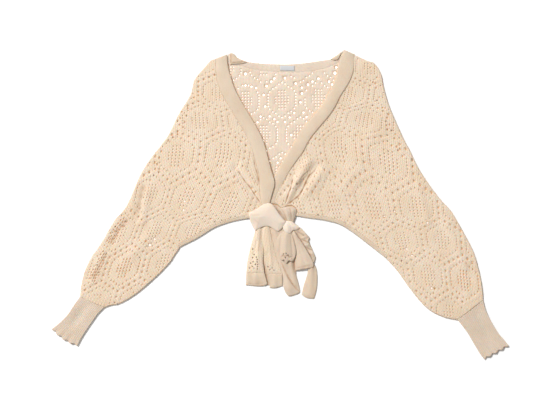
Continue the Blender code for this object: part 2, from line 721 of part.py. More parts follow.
def back_panel(cream, plain):
    """The back with both sleeves in one piece, its hem strip and its neck band."""
    edge = seam(BACK_EDGE)
    hem_top = moved_aside(edge, HEM_WIDTH)
    neck = [Vector((*NECK_CORNER_RIGHT, 0)), *seam(NECK_SEAM)[::-1], Vector((*NECK_CORNER_LEFT, 0))]
    outline = loop_of(
        top_edge(SHOULDER_LEFT, SLEEVE_LEFT), edge_of(SLEEVE_LEFT, 2)[::-1], hem_top,
        edge_of(SLEEVE_RIGHT, 2), top_edge(SHOULDER_RIGHT, SLEEVE_RIGHT)[::-1], neck,
    )
    vee = (
        [Vector((row.vee_x, row.vee_y, 0)) for row in BAND_LEFT[:-2]]
        + [Vector((row.vee_x, row.vee_y, 0)) for row in reversed(BAND_RIGHT[:-3])]
    )
    chart = Chart(LACE_BACK)

    def in_the_vee(x, y, k):
        return inside(x, y, vee) and y > VEE_LACE_BOTTOM

    def under_the_fronts(x, y, k):
        return k == 0 and not inside(x, y, vee)

    holes = eyelets(outline, chart, VEE_EYELET_SIDES, in_the_vee)
    holes += eyelets(outline, chart, EYELET_SIDES, under_the_fronts)
    wall("back_with_sleeves", outline, on_the_floor, cream, holes)
    wall("back_hem", loop_of(edge, hem_top[::-1]), on_the_floor, plain)
    wall("back_neck_band", loop_of(seam(NECK_TOP), seam(NECK_SEAM)[::-1]), on_the_floor, plain)


def band(name, rows, material):
    """A front band: a ribbon from its seam on the front to its free edge in the V."""
    seam_edge = curve_through([(r.seam_x, r.seam_y, r.seam_lift) for r in rows], OUTLINE_STEP)
    free_edge = curve_through([(r.vee_x, r.vee_y, r.vee_lift) for r in rows], OUTLINE_STEP)

    def under(x, y):
        to_seam, seam_lift = nearest(x, y, seam_edge)
        to_free, free_lift = nearest(x, y, free_edge)
        share = to_seam / (to_seam + to_free + 1e-6)
        return seam_lift + (free_lift - seam_lift) * share + BAND_ARCH * math.sin(math.pi * share)

    middle = [((r.seam_x + r.vee_x) / 2, (r.seam_y + r.vee_y) / 2) for r in rows[1:-1]]
    wall(name, loop_of(seam_edge, free_edge[::-1]), under, material, inner=middle)


def nearest(x, y, line):
    """Distance to a line and its height at the nearest point."""
    places = []
    for a, b in zip(line, line[1:]):
        away, t = to_segment(x, y, a.x, a.y, b.x, b.y)
        places.append((away, a.z + (b.z - a.z) * t))
    return min(places)


def cuff_ring(mesh, row, along, frill, bulge):
    """Outer and inner points round one cross-section of a flattened cuff."""
    start, end = Vector((row.top_x, row.top_y)), Vector((row.under_x, row.under_y))
    trim = (end - start).normalized() * SEAM_GAP / 2
    start, end = start + trim, end - trim
    outer, inner = [], []
    for k in range(2 * RIBS + 1):
        s = k / (2 * RIBS)
        bow = max(0.0, math.sin(math.pi * s)) ** 0.35
        wave = frill * bow * (0.5 - 0.5 * math.cos(math.tau * FRILL_WAVES * s))
        nick = frill * FRILL_NICK * math.sin(math.tau * FRILL_WAVES * s + 1.0)
        out = along * (nick + frill * bulge * math.sin(math.pi * s))
        roof = WALL + CUFF_ROOM * (0.4 + 0.6 * bow) + FRILL_HEIGHT * wave
        rib = RIB_HEIGHT * (k % 2) * bow * (1 - 0.6 * frill)
        outer.append((*(start.lerp(end, s) + out), roof + WALL + rib))
        inner.append((*(start.lerp(end, CUFF_EDGE + (1 - 2 * CUFF_EDGE) * s) + out), roof))
    for k in range(CUFF_UNDER, -1, -1):
        s = CUFF_EDGE / 2 + (1 - CUFF_EDGE) * k / CUFF_UNDER
        out = along * frill * bulge * math.sin(math.pi * s)
        outer.append((*(start.lerp(end, s) + out), 0.0))
        inner.append((*(start.lerp(end, CUFF_EDGE + (1 - 2 * CUFF_EDGE) * s) + out), WALL))
    return [[mesh.verts.new(Vector(p) * MM) for p in side] for side in (outer, inner)]


def cuff(name, rows, bulge, material):
    """A ribbed cuff: a flattened tube in cross-sections, flared into a frill."""
    mesh = bmesh.new()
    rings = []
    for station, row in enumerate(rows):
        along = Vector((rows[-1].top_x - rows[0].top_x, rows[-1].top_y - rows[0].top_y)).normalized()
        frill = max(0, station - len(rows) + 3) / 2
        if station == 0:
            step = along * SEAM_GAP
            row = SleeveRow(
                row.top_x + step.x, row.top_y + step.y, row.under_x + step.x, row.under_y + step.y
            )
        rings.append(cuff_ring(mesh, row, along, frill, bulge))
    size = len(rings[0][0])
    for k in range(size):
        n = (k + 1) % size
        for (outer_a, inner_a), (outer_b, inner_b) in zip(rings, rings[1:]):
            mesh.faces.new((outer_a[k], outer_a[n], outer_b[n], outer_b[k]))
            mesh.faces.new((inner_a[k], inner_b[k], inner_b[n], inner_a[n]))
        for outer, inner in (rings[0], rings[-1]):
            mesh.faces.new((outer[k], inner[k], inner[n], outer[n]))
    bmesh.ops.recalc_face_normals(mesh, faces=mesh.faces)
    bmesh.ops.triangulate(mesh, faces=mesh.faces)
    return finish(name, mesh, material)


def rim_outline(rim, step):
    """A closed outline through the rim's rows, smooth but for its corners."""
    count = len(rim)
    corners = [i for i, row in enumerate(rim) if row.corner]
    points = [Vector((row.x, row.y, row.lift)) for row in rim]
    if not corners:
        out = []
        for i in range(count):
            four = [points[(i + k - 1) % count] for k in range(4)]
            pieces = max(1, round((four[2].xy - four[1].xy).length / step))
            out.extend(catmull(*four, k / pieces) for k in range(pieces))
        return out
    out = []
    for here, ahead in zip(corners, corners[1:] + [corners[0] + count]):
        out.extend(curve_through([points[i % count] for i in range(here, ahead + 1)], step)[:-1])
    return out


def drape(name, rim, rise, reach, step, pitch, material):
    """A piece of the knot: a wall that rises from its rim into a soft dome."""
    outline = rim_outline(rim, step)
    ring = outline + outline[:1]

    def under(x, y):
        total = weights = 0.0
        for point in outline:
            weight = 1.0 / ((x - point.x) ** 2 + (y - point.y) ** 2 + 0.05) ** 1.5
            total += weight * point.z
            weights += weight
        return max(0.0, total / weights) + rise * (1 - math.exp(-to_line(x, y, ring) / reach))

    inner = grid_inside(outline, [], pitch, pitch * 0.3)
    wall(name, outline, under, material, inner=inner)


def label(material):
    """The neck label, left bare, on the back neck band."""
    x, y = LABEL_MIDDLE
    half_w, half_h = LABEL_WIDTH / 2, LABEL_HEIGHT / 2
    turn = Vector((math.cos(LABEL_TILT), math.sin(LABEL_TILT)))
    outline = [
        Vector((x + u * turn.x - v * turn.y, y + u * turn.y + v * turn.x, 0.0))
        for u, v in ((-half_w, -half_h), (half_w, -half_h), (half_w, half_h), (-half_w, half_h))
    ]
    wall("neck_label", outline, lambda a, b: LAYER, material, thickness=LABEL_THICKNESS, gap=0.0)


def main():
    clear_scene()
    cream = knit_material("cream_lace_knit", CREAM)
    plain = knit_material("cream_plain_knit", PLAIN)
    tab = knit_material("white_woven_tab", LABEL, 0.7)
    over = FrontLayer()
    back_panel(cream, plain)
    front_panels(over, cream, plain)
    band("band_left", BAND_LEFT, plain)
    band("band_right", BAND_RIGHT, plain)
    cuff("cuff_left", CUFF_LEFT, CUFF_LEFT_BULGE, plain)
    cuff("cuff_right", CUFF_RIGHT, 0.0, plain)
    label(tab)
    pieces = (
        Drape("band_turn_left", BAND_TURN_LEFT, 1.5, 6, 12, 12, plain),
        Drape("band_turn_right", BAND_TURN_RIGHT, 1.2, 5, 12, 10, plain),
        Drape("knot_wrap", KNOT_WRAP, 9.0, 12, 8, 9, plain),
        Drape("knot_loop", KNOT_LOOP, 7.0, 9, 8, 8, plain),
        Drape("knot_nub", KNOT_NUB, 4.6, 5, 6, 6, plain),
        Drape("tail_lace", TAIL_LACE, 3.2, 9, 11, 11, cream),
        Drape("tail_lace_hem", TAIL_LACE_HEM, 1.0, 8, 11, 11, plain),
        Drape("tail_middle", TAIL_MIDDLE, 3.6, 8, 11, 11, cream),
        Drape("tail_middle_hem", TAIL_MIDDLE_HEM, 1.6, 8, 11, 11, plain),
        Drape("tail_strip", TAIL_STRIP, 2.6, 8, 11, 10, plain),
        Drape("tail_lobe", TAIL_LOBE, 6.0, 9, 8, 8, plain),
        Drape("tail_fan", TAIL_FAN, 1.6, 8, 11, 11, plain),
        Drape("tail_ruffle", TAIL_RUFFLE, 1.2, 6, 7, 8, plain),
        Drape("tail_end", TAIL_END, 1.6, 8, 11, 11, plain),
    )
    for piece in pieces:
        drape(*piece)


main()
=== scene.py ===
# %% [markdown]
# # A lace-knit wrap cardigan, laid flat
# The garment is a cropped wrap cardigan in cream cotton yarn: an openwork lace
# body cut in one with its wide sleeves, ribbed cuffs, a plain band round the V,
# and two fronts tied in a knot. This lesson builds the cloth that shows over the
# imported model, piece by piece, as a maker would knit and sew it. All tables are
# in millimetres in the garment's own frame: +X right, +Y to the neck, +Z up.

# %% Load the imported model
import math
from collections import namedtuple
from itertools import product

import bpy
import numpy as np
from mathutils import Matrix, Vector


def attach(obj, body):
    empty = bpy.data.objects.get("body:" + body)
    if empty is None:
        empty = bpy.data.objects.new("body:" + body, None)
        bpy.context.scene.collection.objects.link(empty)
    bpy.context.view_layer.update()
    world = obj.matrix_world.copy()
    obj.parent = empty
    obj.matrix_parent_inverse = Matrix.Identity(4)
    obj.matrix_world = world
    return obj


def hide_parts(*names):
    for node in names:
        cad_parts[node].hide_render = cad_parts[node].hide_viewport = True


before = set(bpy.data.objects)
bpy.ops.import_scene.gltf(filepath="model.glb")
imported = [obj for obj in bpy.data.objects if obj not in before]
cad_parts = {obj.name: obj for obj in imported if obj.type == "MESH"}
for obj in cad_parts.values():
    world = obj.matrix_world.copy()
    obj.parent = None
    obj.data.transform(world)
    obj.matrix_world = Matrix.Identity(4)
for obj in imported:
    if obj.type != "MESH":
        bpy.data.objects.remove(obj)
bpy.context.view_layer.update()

MM = 0.001

# %% [markdown]
# The camera looks straight down through a long lens, so that the flat garment
# shows hardly any perspective. One pixel of the picture is 2.4 mm on the floor.

# %% Camera
PIXEL, PICTURE_WIDTH = 2.4, 533
SENSOR, CLIP_END = 36.0, 50.0
CAMERA_X, CAMERA_Y, CAMERA_HEIGHT = -33.0, 11.0, 3200.0


def new_object(name, data):
    """An object with its data, linked to the scene."""
    made = bpy.data.objects.new(name, data)
    bpy.context.scene.collection.objects.link(made)
    return made


lens_data = bpy.data.cameras.new("camera_above")
lens_data.sensor_width = SENSOR
lens_data.lens = SENSOR * CAMERA_HEIGHT / (PICTURE_WIDTH * PIXEL)
lens_data.clip_end = CLIP_END
camera = new_object("camera_above", lens_data)
camera.location = (CAMERA_X * MM, CAMERA_Y * MM, CAMERA_HEIGHT * MM)
bpy.context.scene.camera = camera
print("lens", round(lens_data.lens, 1), "mm")

# %% [markdown]
# Shader and geometry trees are both built from nodes. One small function adds a
# node, gives it its settings and fills or links its sockets. Another turns an
# sRGB hex colour to the linear values that a shader needs.

# %% Helpers for nodes and colours
def linear(hex_colour):
    """An sRGB hex colour as linear red, green, blue and alpha."""
    parts = [int(hex_colour[i : i + 2], 16) / 255 for i in (1, 3, 5)]
    return (*[c / 12.92 if c <= 0.04045 else ((c + 0.055) / 1.055) ** 2.4 for c in parts], 1.0)


def fill(node, named):
    """Fills or links inputs by name or number; a node as a value means its first output."""
    for key, value in named.items():
        if isinstance(value, bpy.types.Node):
            value = value.outputs[0]
        if isinstance(value, bpy.types.NodeSocket):
            node.id_data.links.new(value, node.inputs[key])
        elif isinstance(value, str) and value.startswith("#"):
            node.inputs[key].default_value = linear(value)
        else:
            node.inputs[key].default_value = value


def add(tree, kind, *values, named=(), **settings):
    """A node with its settings; each value fills or links one input, in order or by name."""
    made = tree.nodes.new(kind)
    for key, value in settings.items():
        setattr(made, key, value)
    fill(made, {**dict(enumerate(values)), **dict(named)})
    return made


def new_material(name):
    """A material with its node tree and its shader."""
    material = bpy.data.materials.new(name)
    material.use_nodes = True
    return material, material.node_tree, material.node_tree.nodes["Principled BSDF"]


# %% [markdown]
# Studio light: a bright lamp to the upper left gives the thin dark shadows on the
# right and lower edges, a large panel near it lets the light fall off towards the
# right, and a pale room does the rest. The floor is white paper, so bright that it
# looks white behind every open eyelet, and light that soaks through two layers of
# cream yarn comes back warm. So the paper glows a little under the garment, within
# circles, which is simpler than letting the light soak through real yarn.

# %% Light and floor
KEY_FROM, KEY_SOFTNESS, KEY_STRENGTH = (-0.62, 0.72, 1.05), 0.12, 2.6
FILL_PLACE, FILL_SIZE, FILL_POWER = (-1.5, 0.8, 2.0), 2.0, 18.0
ROOM_WHITE, ROOM_STRENGTH = "#fbfaf8", 0.36
PAPER_WHITE, PAPER_ROUGHNESS, PAPER_SIZE, PAPER_DROP = "#fdfdfd", 0.9, 6.0, 0.0004
WHITE_GLOW, WHITE_LIGHT = 0.72, "#ffffff"
WARM_GLOW, WARM_LIGHT = 0.5, "#d9a876"
GLOW_CORE = 0.8  # the share of a circle's radius that glows in full
# Circles as x, y and radius, all well inside the garment's edges
WHITE_CIRCLES = [
    (22, 240, 150), (0, 110, 70), (-85, 318, 48), (125, 322, 48), (-312, -90, 24),
    (-231, -2, 22), (262, -22, 26), (352, -44, 12), (308, -114, 20), (366, -201, 7),
]
WARM_CIRCLES = [
    (-130, 230, 60), (-160, 110, 85), (-190, 20, 70), (-85, 40, 50), (-290, 10, 50),
    (-330, -80, 45), (-390, -150, 48), (-420, -200, 30), (150, 230, 60), (170, 110, 85),
    (190, 10, 70), (95, 50, 45), (280, 20, 50), (310, -70, 48), (370, -120, 45), (400, -180, 42),
]


def light(name, kind, place, **settings):
    """A light at a place that shines on the garment's middle."""
    data = bpy.data.lights.new(name, kind)
    for key, value in settings.items():
        setattr(data, key, value)
    lamp = new_object(name, data)
    lamp.location = place
    lamp.rotation_euler = Vector(place).to_track_quat("Z", "Y").to_euler()


def glow_within(tree, circles, strength):
    """How strongly the paper glows at each place: in the circles, fading at their rims."""
    place = add(tree, "ShaderNodeTexCoord").outputs["Object"]
    glow = 0.0
    for x, y, radius in circles:
        away = add(tree, "ShaderNodeVectorMath", place, (x * MM, y * MM, 0.0), operation="DISTANCE")
        spot = add(tree, "ShaderNodeMapRange", away.outputs["Value"], GLOW_CORE * radius * MM,
                   radius * MM, strength, 0.0)
        glow = add(tree, "ShaderNodeMath", spot, glow, operation="MAXIMUM")
    return glow


def white_paper():
    """Matt uncoated paper with no sheen, which glows in the circles under the garment: painted light
    behind its eyelets.
    """
    paper, tree, shader = new_material("white_paper")
    white = glow_within(tree, WHITE_CIRCLES, WHITE_GLOW)
    warm = glow_within(tree, WARM_CIRCLES, WARM_GLOW)
    whiteness = add(tree, "ShaderNodeMath", white, WHITE_GLOW, operation="DIVIDE")
    tint = add(tree, "ShaderNodeMix", data_type="RGBA",
               named={"Factor": whiteness, 6: WARM_LIGHT, 7: WHITE_LIGHT})
    fill(shader, {
        "Base Color": PAPER_WHITE, "Roughness": PAPER_ROUGHNESS, "Specular IOR Level": 0.0,
        "Emission Color": tint.outputs[2],
        "Emission Strength": add(tree, "ShaderNodeMath", white, warm, operation="MAXIMUM"),
    })
    return paper


light("key_panel", "SUN", KEY_FROM, angle=KEY_SOFTNESS, energy=KEY_STRENGTH)
light("fill_panel", "AREA", FILL_PLACE, size=FILL_SIZE, energy=FILL_POWER)
room = bpy.data.worlds.new("pale_room")
room.use_nodes = True
fill(room.node_tree.nodes["Background"], {"Color": ROOM_WHITE, "Strength": ROOM_STRENGTH})
bpy.context.scene.world = room
bpy.context.scene.view_settings.view_transform = "Standard"
bpy.context.scene.view_settings.look = "None"

half = PAPER_SIZE / 2
floor_data = bpy.data.meshes.new("paper_floor")
floor_data.from_pydata(
    [(-half, -half, 0), (half, -half, 0), (half, half, 0), (-half, half, 0)], [], [(0, 1, 2, 3)]
)
floor_data.materials.append(white_paper())
floor = new_object("paper_floor", floor_data)
floor.location.z = -PAPER_DROP
print("paper of", PAPER_SIZE, "m, with", len(WHITE_CIRCLES + WARM_CIRCLES), "circles that glow")

# %% [markdown]
# The yarn is a combed cotton blend, spun soft and left matt: no gloss, a faint
# bloom of loose fibres at grazing angles, and painted shade, a warm deep tone,
# wherever light would have to bounce between strands. The material reads three
# values kept on each point of a piece: painted shade near a rim or an opening,
# painted shade deep in a crease, and a painted warm shade with a painted glow
# where it lies under another layer. The stitch pattern is drawn in each
# piece's own UV map, which is in millimetres of knitted cloth. Its stitches are
# 3.7 by 3.5 mm in the lace and 2.4 by 2.0 mm in the plain knit. The real ones are
# finer than 1 mm, which wouldn't show in a picture with 2.4 mm to a pixel.

# %% Yarn materials
MEDALLION_WIDTH, MEDALLION_HEIGHT, MEDALLION_SIDE = 88.0, 112.0, 56.0
MEDALLION_WALES, ROW_COURSES = 24, 24
ROW_PITCH = (MEDALLION_HEIGHT + MEDALLION_SIDE) / 2
WALE, COURSE = MEDALLION_WIDTH / MEDALLION_WALES, ROW_PITCH / ROW_COURSES
PLAIN_STITCH, RIB_STITCH = (2.4, 2.0), (4.0, 2.0)
CREAM, CREAM_SHADE, CREAM_PALE = "#e6d2b9", "#c08d5a", "#ead9c4"
# Painted shade: a warm tone, which also glows, under another layer, and a brown in creases
SHADE_AND_GLOW_BEHIND, CREASE_SHADE_BROWN = "#ddb285", "#9a6230"
STRAND_GROOVE_SHADE, STRAND_PALE = "#cda983", "#e9d2b9"
# Painted light: cloth under another layer glows a little, as if light soaked through the loose knit to
# it
SOAKED_LIGHT = 0.52  # the loose knit lets light soak through to the layer beneath
STITCH_SLANT, STITCH_WAVE, RIB_WAVE = 1.1, 0.3, 0.12
COLUMN_ROUNDNESS, FIBRE_HEIGHT = -3.6, 0.35
# Painted shade at rims and openings: the share of the deep tone that a rim takes
RIM_SHADE = 0.2
# Painted shade at rims, painted shade in creases, and painted warm shade with a glow under another
# layer
LIGHT_AND_SHADE_TONES = ("rim", "shade", "covered")  # kept on each point of a piece
MATT = {"Roughness": 0.9, "Specular IOR Level": 0.25}
SOFT = {
    "Sheen Weight": 0.12, "Sheen Roughness": 0.5, "Subsurface Weight": 0.3,
    "Subsurface Radius": (1.0, 0.55, 0.3), "Subsurface Scale": 0.0015,
}


def stitch_form(tree, across, along, wave_height):
    """How high the yarn stands: one V-shaped stitch for each wale and course."""
    in_wale = add(tree, "ShaderNodeMath", across, operation="FRACT")
    from_middle = add(tree, "ShaderNodeMath", in_wale, 0.5, operation="SUBTRACT")
    from_middle = add(tree, "ShaderNodeMath", from_middle, operation="ABSOLUTE")
    slant = add(tree, "ShaderNodeMath", from_middle, STITCH_SLANT, along, operation="MULTIPLY_ADD")
    turn = add(tree, "ShaderNodeMath", slant, math.tau, operation="MULTIPLY")
    wave = add(tree, "ShaderNodeMath", turn, operation="SINE")
    column = add(tree, "ShaderNodeMath", from_middle, from_middle, operation="MULTIPLY")
    column = add(tree, "ShaderNodeMath", column, COLUMN_ROUNDNESS, 1.0, operation="MULTIPLY_ADD")
    return add(tree, "ShaderNodeMath", wave, wave_height, column, operation="MULTIPLY_ADD")


def open_gaps(tree, across, along):
    """Where gaps are open: beside every second stitch, in turn from wale to wale."""
    in_pair = add(tree, "ShaderNodeMath", across, 0.5, operation="ADD")
    in_pair = add(tree, "ShaderNodeMath", in_pair, operation="FLOOR")
    in_pair = add(tree, "ShaderNodeMath", in_pair, along, operation="ADD")
    swing = add(tree, "ShaderNodeMath", in_pair, math.pi, operation="MULTIPLY")
    swing = add(tree, "ShaderNodeMath", swing, operation="COSINE")
    return add(tree, "ShaderNodeMapRange", swing, -0.3, 0.7, 0.2, 1.0)


def knit_material(name, stitch_size, base, deep, pale, relief, between, ribbed=False):
    """Matt knitted cotton: a base with pale patches, and painted shade, a deep tone, between its
    stitches and at its rims.
    """
    material, tree, shader = new_material(name)
    wale, course = stitch_size
    cloth = add(tree, "ShaderNodeSeparateXYZ", add(tree, "ShaderNodeUVMap", uv_map="cloth")).outputs
    across = add(tree, "ShaderNodeMath", cloth[0], wale, operation="DIVIDE")
    along = add(tree, "ShaderNodeMath", cloth[1], course, operation="DIVIDE")
    stitch = stitch_form(tree, across, along, RIB_WAVE if ribbed else STITCH_WAVE)
    place = add(tree, "ShaderNodeTexCoord").outputs["Object"]
    fibre = add(tree, "ShaderNodeTexNoise", place,
                named={"Scale": 900.0, "Detail": 2.0, "Roughness": 0.6})
    height = add(tree, "ShaderNodeMath", fibre, FIBRE_HEIGHT, stitch, operation="MULTIPLY_ADD")
    bump = add(tree, "ShaderNodeBump",
               named={"Strength": relief, "Distance": 0.6 * MM, "Height": height})

    patches = add(tree, "ShaderNodeTexNoise", place,
                  named={"Scale": 22.0, "Detail": 3.0, "Roughness": 0.55})
    uneven = add(tree, "ShaderNodeMapRange", patches, 0.35, 0.65, 0.0, 1.0)
    body = add(tree, "ShaderNodeMix", data_type="RGBA", named={"Factor": uneven, 6: base, 7: pale})
    rim, shade, covered = [
        add(tree, "ShaderNodeAttribute", attribute_name=tone).outputs["Fac"] for tone in LIGHT_AND_SHADE_TONES
    ]
    # Under another layer: painted warm shade here, and a painted glow below
    layered = add(tree, "ShaderNodeMix", data_type="RGBA",
                  named={"Factor": covered, 6: body.outputs[2], 7: SHADE_AND_GLOW_BEHIND})
    rim = add(tree, "ShaderNodeMath", rim, RIM_SHADE, operation="MULTIPLY")
    # Painted shade: the lower the yarn stands between stitches, the more of the deep tone
    gap_shade = add(tree, "ShaderNodeMapRange", stitch, -0.1, 0.6, between, 0.0)
    if not ribbed:
        gap_shade = add(tree, "ShaderNodeMath", gap_shade, open_gaps(tree, across, along), operation="MULTIPLY")
    depth = add(tree, "ShaderNodeMath", rim, gap_shade, operation="MAXIMUM")
    strands = add(tree, "ShaderNodeMix", data_type="RGBA",
                  named={"Factor": depth, 6: layered.outputs[2], 7: deep})
    final = add(tree, "ShaderNodeMix", data_type="RGBA",
                named={"Factor": shade, 6: strands.outputs[2], 7: CREASE_SHADE_BROWN})
    soaked = add(tree, "ShaderNodeMath", covered, SOAKED_LIGHT, operation="MULTIPLY")
    fill(shader, {
        **MATT, **SOFT, "Base Color": final.outputs[2], "Normal": bump,
        "Emission Color": SHADE_AND_GLOW_BEHIND, "Emission Strength": soaked,
    })
    return material


def strand_material():
    """The same cotton as one twisted strand: matt, with painted shade in the grooves of its ply."""
    material, tree, shader = new_material("cotton_strand")
    twist = add(tree, "ShaderNodeTexNoise", add(tree, "ShaderNodeTexCoord").outputs["Object"],
                named={"Scale": 420.0, "Detail": 2.0, "Roughness": 0.6})
    uneven = add(tree, "ShaderNodeMapRange", twist, 0.4, 0.62, 0.0, 1.0)
    tone = add(tree, "ShaderNodeMix", data_type="RGBA",
               named={"Factor": uneven, 6: STRAND_GROOVE_SHADE, 7: STRAND_PALE})
    ply = add(tree, "ShaderNodeBump",
              named={"Strength": 0.8, "Distance": 0.5 * MM, "Height": twist})
    fill(shader, {**MATT, "Base Color": tone.outputs[2], "Normal": ply})
    return material


# Open lace over a second layer: painted shade, a deep honey, in the gaps between pale stitches
lace_yarn = knit_material(
    "cotton_lace_knit", (WALE, COURSE), CREAM, CREAM_SHADE, CREAM_PALE, relief=0.7, between=0.85)
# The same lace in one layer over white: paler, with faint painted shade in its gaps
single_yarn = knit_material(
    "cotton_lace_single", (WALE, COURSE), "#e3d1bd", "#cfae8b", "#e9dac8", relief=0.7, between=0.3)
# Fine plain stitches: an even face, painted greyer as a shaded copy of the cream, as it catches less of
# the light
shaded_plain_yarn = knit_material(
    "cotton_plain_knit_shaded", PLAIN_STITCH, "#dbc6ae", "#b4875a", "#e0ceb8", relief=0.6, between=0.35)
# The knot's cloth is pulled taut and smooth; painted light makes it the palest, as it lies highest
lit_tie_yarn = knit_material(
    "cotton_tie_knit_lit", PLAIN_STITCH, "#ecdbc9", "#c49b72", "#f0e1d1", relief=0.5, between=0.3)
# The tails hang in loose folds: painted shade, a darker copy with stronger shade between their stitches
shaded_tail_yarn = knit_material(
    "cotton_tail_knit_shaded", PLAIN_STITCH, "#dbc6b0", "#ab7c50", "#e0cdb8", relief=0.7, between=0.4)
# Ribs stand close together: quiet and greyer, with almost no gaps
rib_yarn = knit_material(
    "cotton_rib_knit", RIB_STITCH, "#d5c3af", "#b8946f", "#dac9b7", relief=0.2, between=0.08,
    ribbed=True)
# The neck's rib is the same, painted paler as a lit copy, because it lies flat and faces the light
lit_neck_yarn = knit_material(
    "cotton_neck_rib_lit", RIB_STITCH, "#ddcdbc", "#b8946f", "#e2d3c3", relief=0.2, between=0.08,
    ribbed=True)
strand = strand_material()
print("stitches of", round(WALE, 2), "by", COURSE, "mm in the lace")

# %% [markdown]
# The pattern tables: seams and edges as short rows of places, as on a paper
# pattern. A band row gives its seam side and its V side with their heights; a
# sleeve row gives its top edge and its underarm edge. Each side of the garment
# then holds its own tables, with a turn of 1 or -1, because the lines of the two
# sides run opposite ways.

# %% Pattern tables
WALL, SEAM_GAP = 2.2, 0.3
LAYER = WALL + SEAM_GAP
PUFF, PUFF_REACH = 1.3, 14.0
HEM_WIDTH = 9.0
BandRow = namedtuple("BandRow", "seam_x seam_y vee_x vee_y seam_lift vee_lift")
SleeveRow = namedtuple("SleeveRow", "top_x top_y under_x under_y")

SHOULDER_LEFT = [
    (-154, 349), (-166, 345), (-179, 331), (-205, 300), (-215, 264), (-243, 217), (-271, 162),
    (-308, 114),
]
SHOULDER_RIGHT = [
    (175, 360), (194, 351), (212, 343), (225, 339), (241, 314), (248, 280), (262, 234),
    (292, 165), (311, 129), (328, 93),
]
FRONT_EDGE_LEFT = [
    (-241, -102), (-198, -80), (-161, -57), (-131, -45), (-100, -37), (-73, -33),
]
FRONT_EDGE_RIGHT = [
    (254, -129), (207, -92), (170, -64), (139, -46), (103, -37), (60, -31), (38, -27),
]
BACK_EDGE = [
    (-241, -102), (-200, -77), (-163, -53), (-131, -41), (-100, -33), (-73, -29), (-20, -25),
    (38, -23), (103, -33), (139, -42), (170, -60), (207, -88), (254, -129),
]
KNOT_END_LEFT = [(-73, -33), (-56, -14), (-41, -3)]
KNOT_END_RIGHT = [(38, -27), (41, -14), (31, -3), (18, -2), (4, -8), (-7, 0), (-15, 2)]
NECK_TOP = [
    (-126, 360), (-119, 364), (-111, 361), (-101, 352), (-91, 348), (-77, 343), (-44, 339),
    (11, 337), (47, 339), (73, 342), (100, 346), (118, 349), (129, 355), (150, 369),
]
NECK_SEAM = [
    (-125, 334), (-97, 333), (-73, 328), (-44, 322), (11, 318), (47, 318), (83, 322),
    (115, 330), (139, 341),
]
NECK_CORNER_LEFT, NECK_CORNER_RIGHT = (-128, 350), (148, 353)
BAND_LEFT = [
    BandRow(-154, 349, -127, 360, 3.0, 4.0), BandRow(-153, 318, -125, 330, 3.5, 5.5),
    BandRow(-147, 289, -117, 302, 4.0, 6.0), BandRow(-135, 261, -107, 274, 4.0, 6.0),
    BandRow(-111, 220, -86, 235, 4.0, 6.0), BandRow(-85, 177, -60, 192, 4.5, 6.5),
    BandRow(-67, 138, -41, 154, 5.0, 7.0), BandRow(-56, 100, -28, 108, 5.0, 7.5),
    BandRow(-49, 72, -20, 78, 5.5, 8.0), BandRow(-47, 45, -13, 52, 6.5, 8.5),
    BandRow(-46, 22, -20, 23, 6.5, 8.0), BandRow(-41, -3, -27, -3, 6.2, 6.4),
]
BAND_RIGHT = [
    BandRow(175, 360, 152, 371, 3.5, 4.5), BandRow(175, 337, 141, 344, 4.5, 4.5),
    BandRow(172, 316, 137, 324, 6.0, 5.0), BandRow(160, 289, 132, 303, 6.5, 5.0),
    BandRow(143, 263, 121, 277, 6.5, 5.0), BandRow(130, 237, 107, 251, 6.5, 5.0),
    BandRow(113, 212, 92, 228, 6.5, 5.0), BandRow(73, 164, 51, 180, 6.5, 5.0),
    BandRow(53, 129, 31, 144, 6.5, 5.0), BandRow(36, 105, 15, 120, 6.0, 4.5),
    BandRow(18, 78, -2, 91, 5.0, 3.6), BandRow(-1, 41, -23, 51, 3.6, 2.7),
    BandRow(-9, 21, -30, 27, 3.2, 2.7), BandRow(-15, 2, -32, 5, 3.0, 2.7),
]
SLEEVE_LEFT = [
    SleeveRow(-308, 114, -241, -102), SleeveRow(-332, 77, -253, -120),
    SleeveRow(-350, 37, -265, -138), SleeveRow(-370, -6, -289, -164),
    SleeveRow(-397, -38, -314, -187), SleeveRow(-423, -83, -341, -210),
    SleeveRow(-452, -126, -368, -228), SleeveRow(-469, -162, -389, -238),
    SleeveRow(-477, -195, -406, -241), SleeveRow(-480, -221, -423, -247),
]
SLEEVE_RIGHT = [
    SleeveRow(328, 93, 254, -129), SleeveRow(354, 52, 271, -147), SleeveRow(384, 12, 290, -171),
    SleeveRow(409, -15, 309, -198), SleeveRow(429, -49, 332, -227), SleeveRow(448, -83, 352, -248),
    SleeveRow(465, -119, 375, -262), SleeveRow(477, -162, 395, -270),
    SleeveRow(484, -200, 412, -274), SleeveRow(486, -229, 425, -276),
]
CUFF_LEFT = [
    SleeveRow(-480, -221, -423, -247), SleeveRow(-494, -240, -437, -261),
    SleeveRow(-507, -260, -450, -279), SleeveRow(-521, -276, -463, -298),
    SleeveRow(-536, -289, -477, -320), SleeveRow(-547, -297, -486, -338),
]
CUFF_RIGHT = [
    SleeveRow(486, -229, 425, -276), SleeveRow(493, -254, 437, -291),
    SleeveRow(506, -281, 451, -311), SleeveRow(522, -307, 465, -335),
    SleeveRow(538, -326, 479, -358), SleeveRow(547, -337, 489, -369.5),
]

Side = namedtuple("Side", "name turn shoulder sleeve hem_edge knot_end band cuff")
LEFT = Side(
    "left", 1, SHOULDER_LEFT, SLEEVE_LEFT, FRONT_EDGE_LEFT, KNOT_END_LEFT, BAND_LEFT, CUFF_LEFT)
RIGHT = Side(
    "right", -1, SHOULDER_RIGHT, SLEEVE_RIGHT, FRONT_EDGE_RIGHT, KNOT_END_RIGHT, BAND_RIGHT,
    CUFF_RIGHT)
print("rows of the bands", len(LEFT.band), "and", len(RIGHT.band))
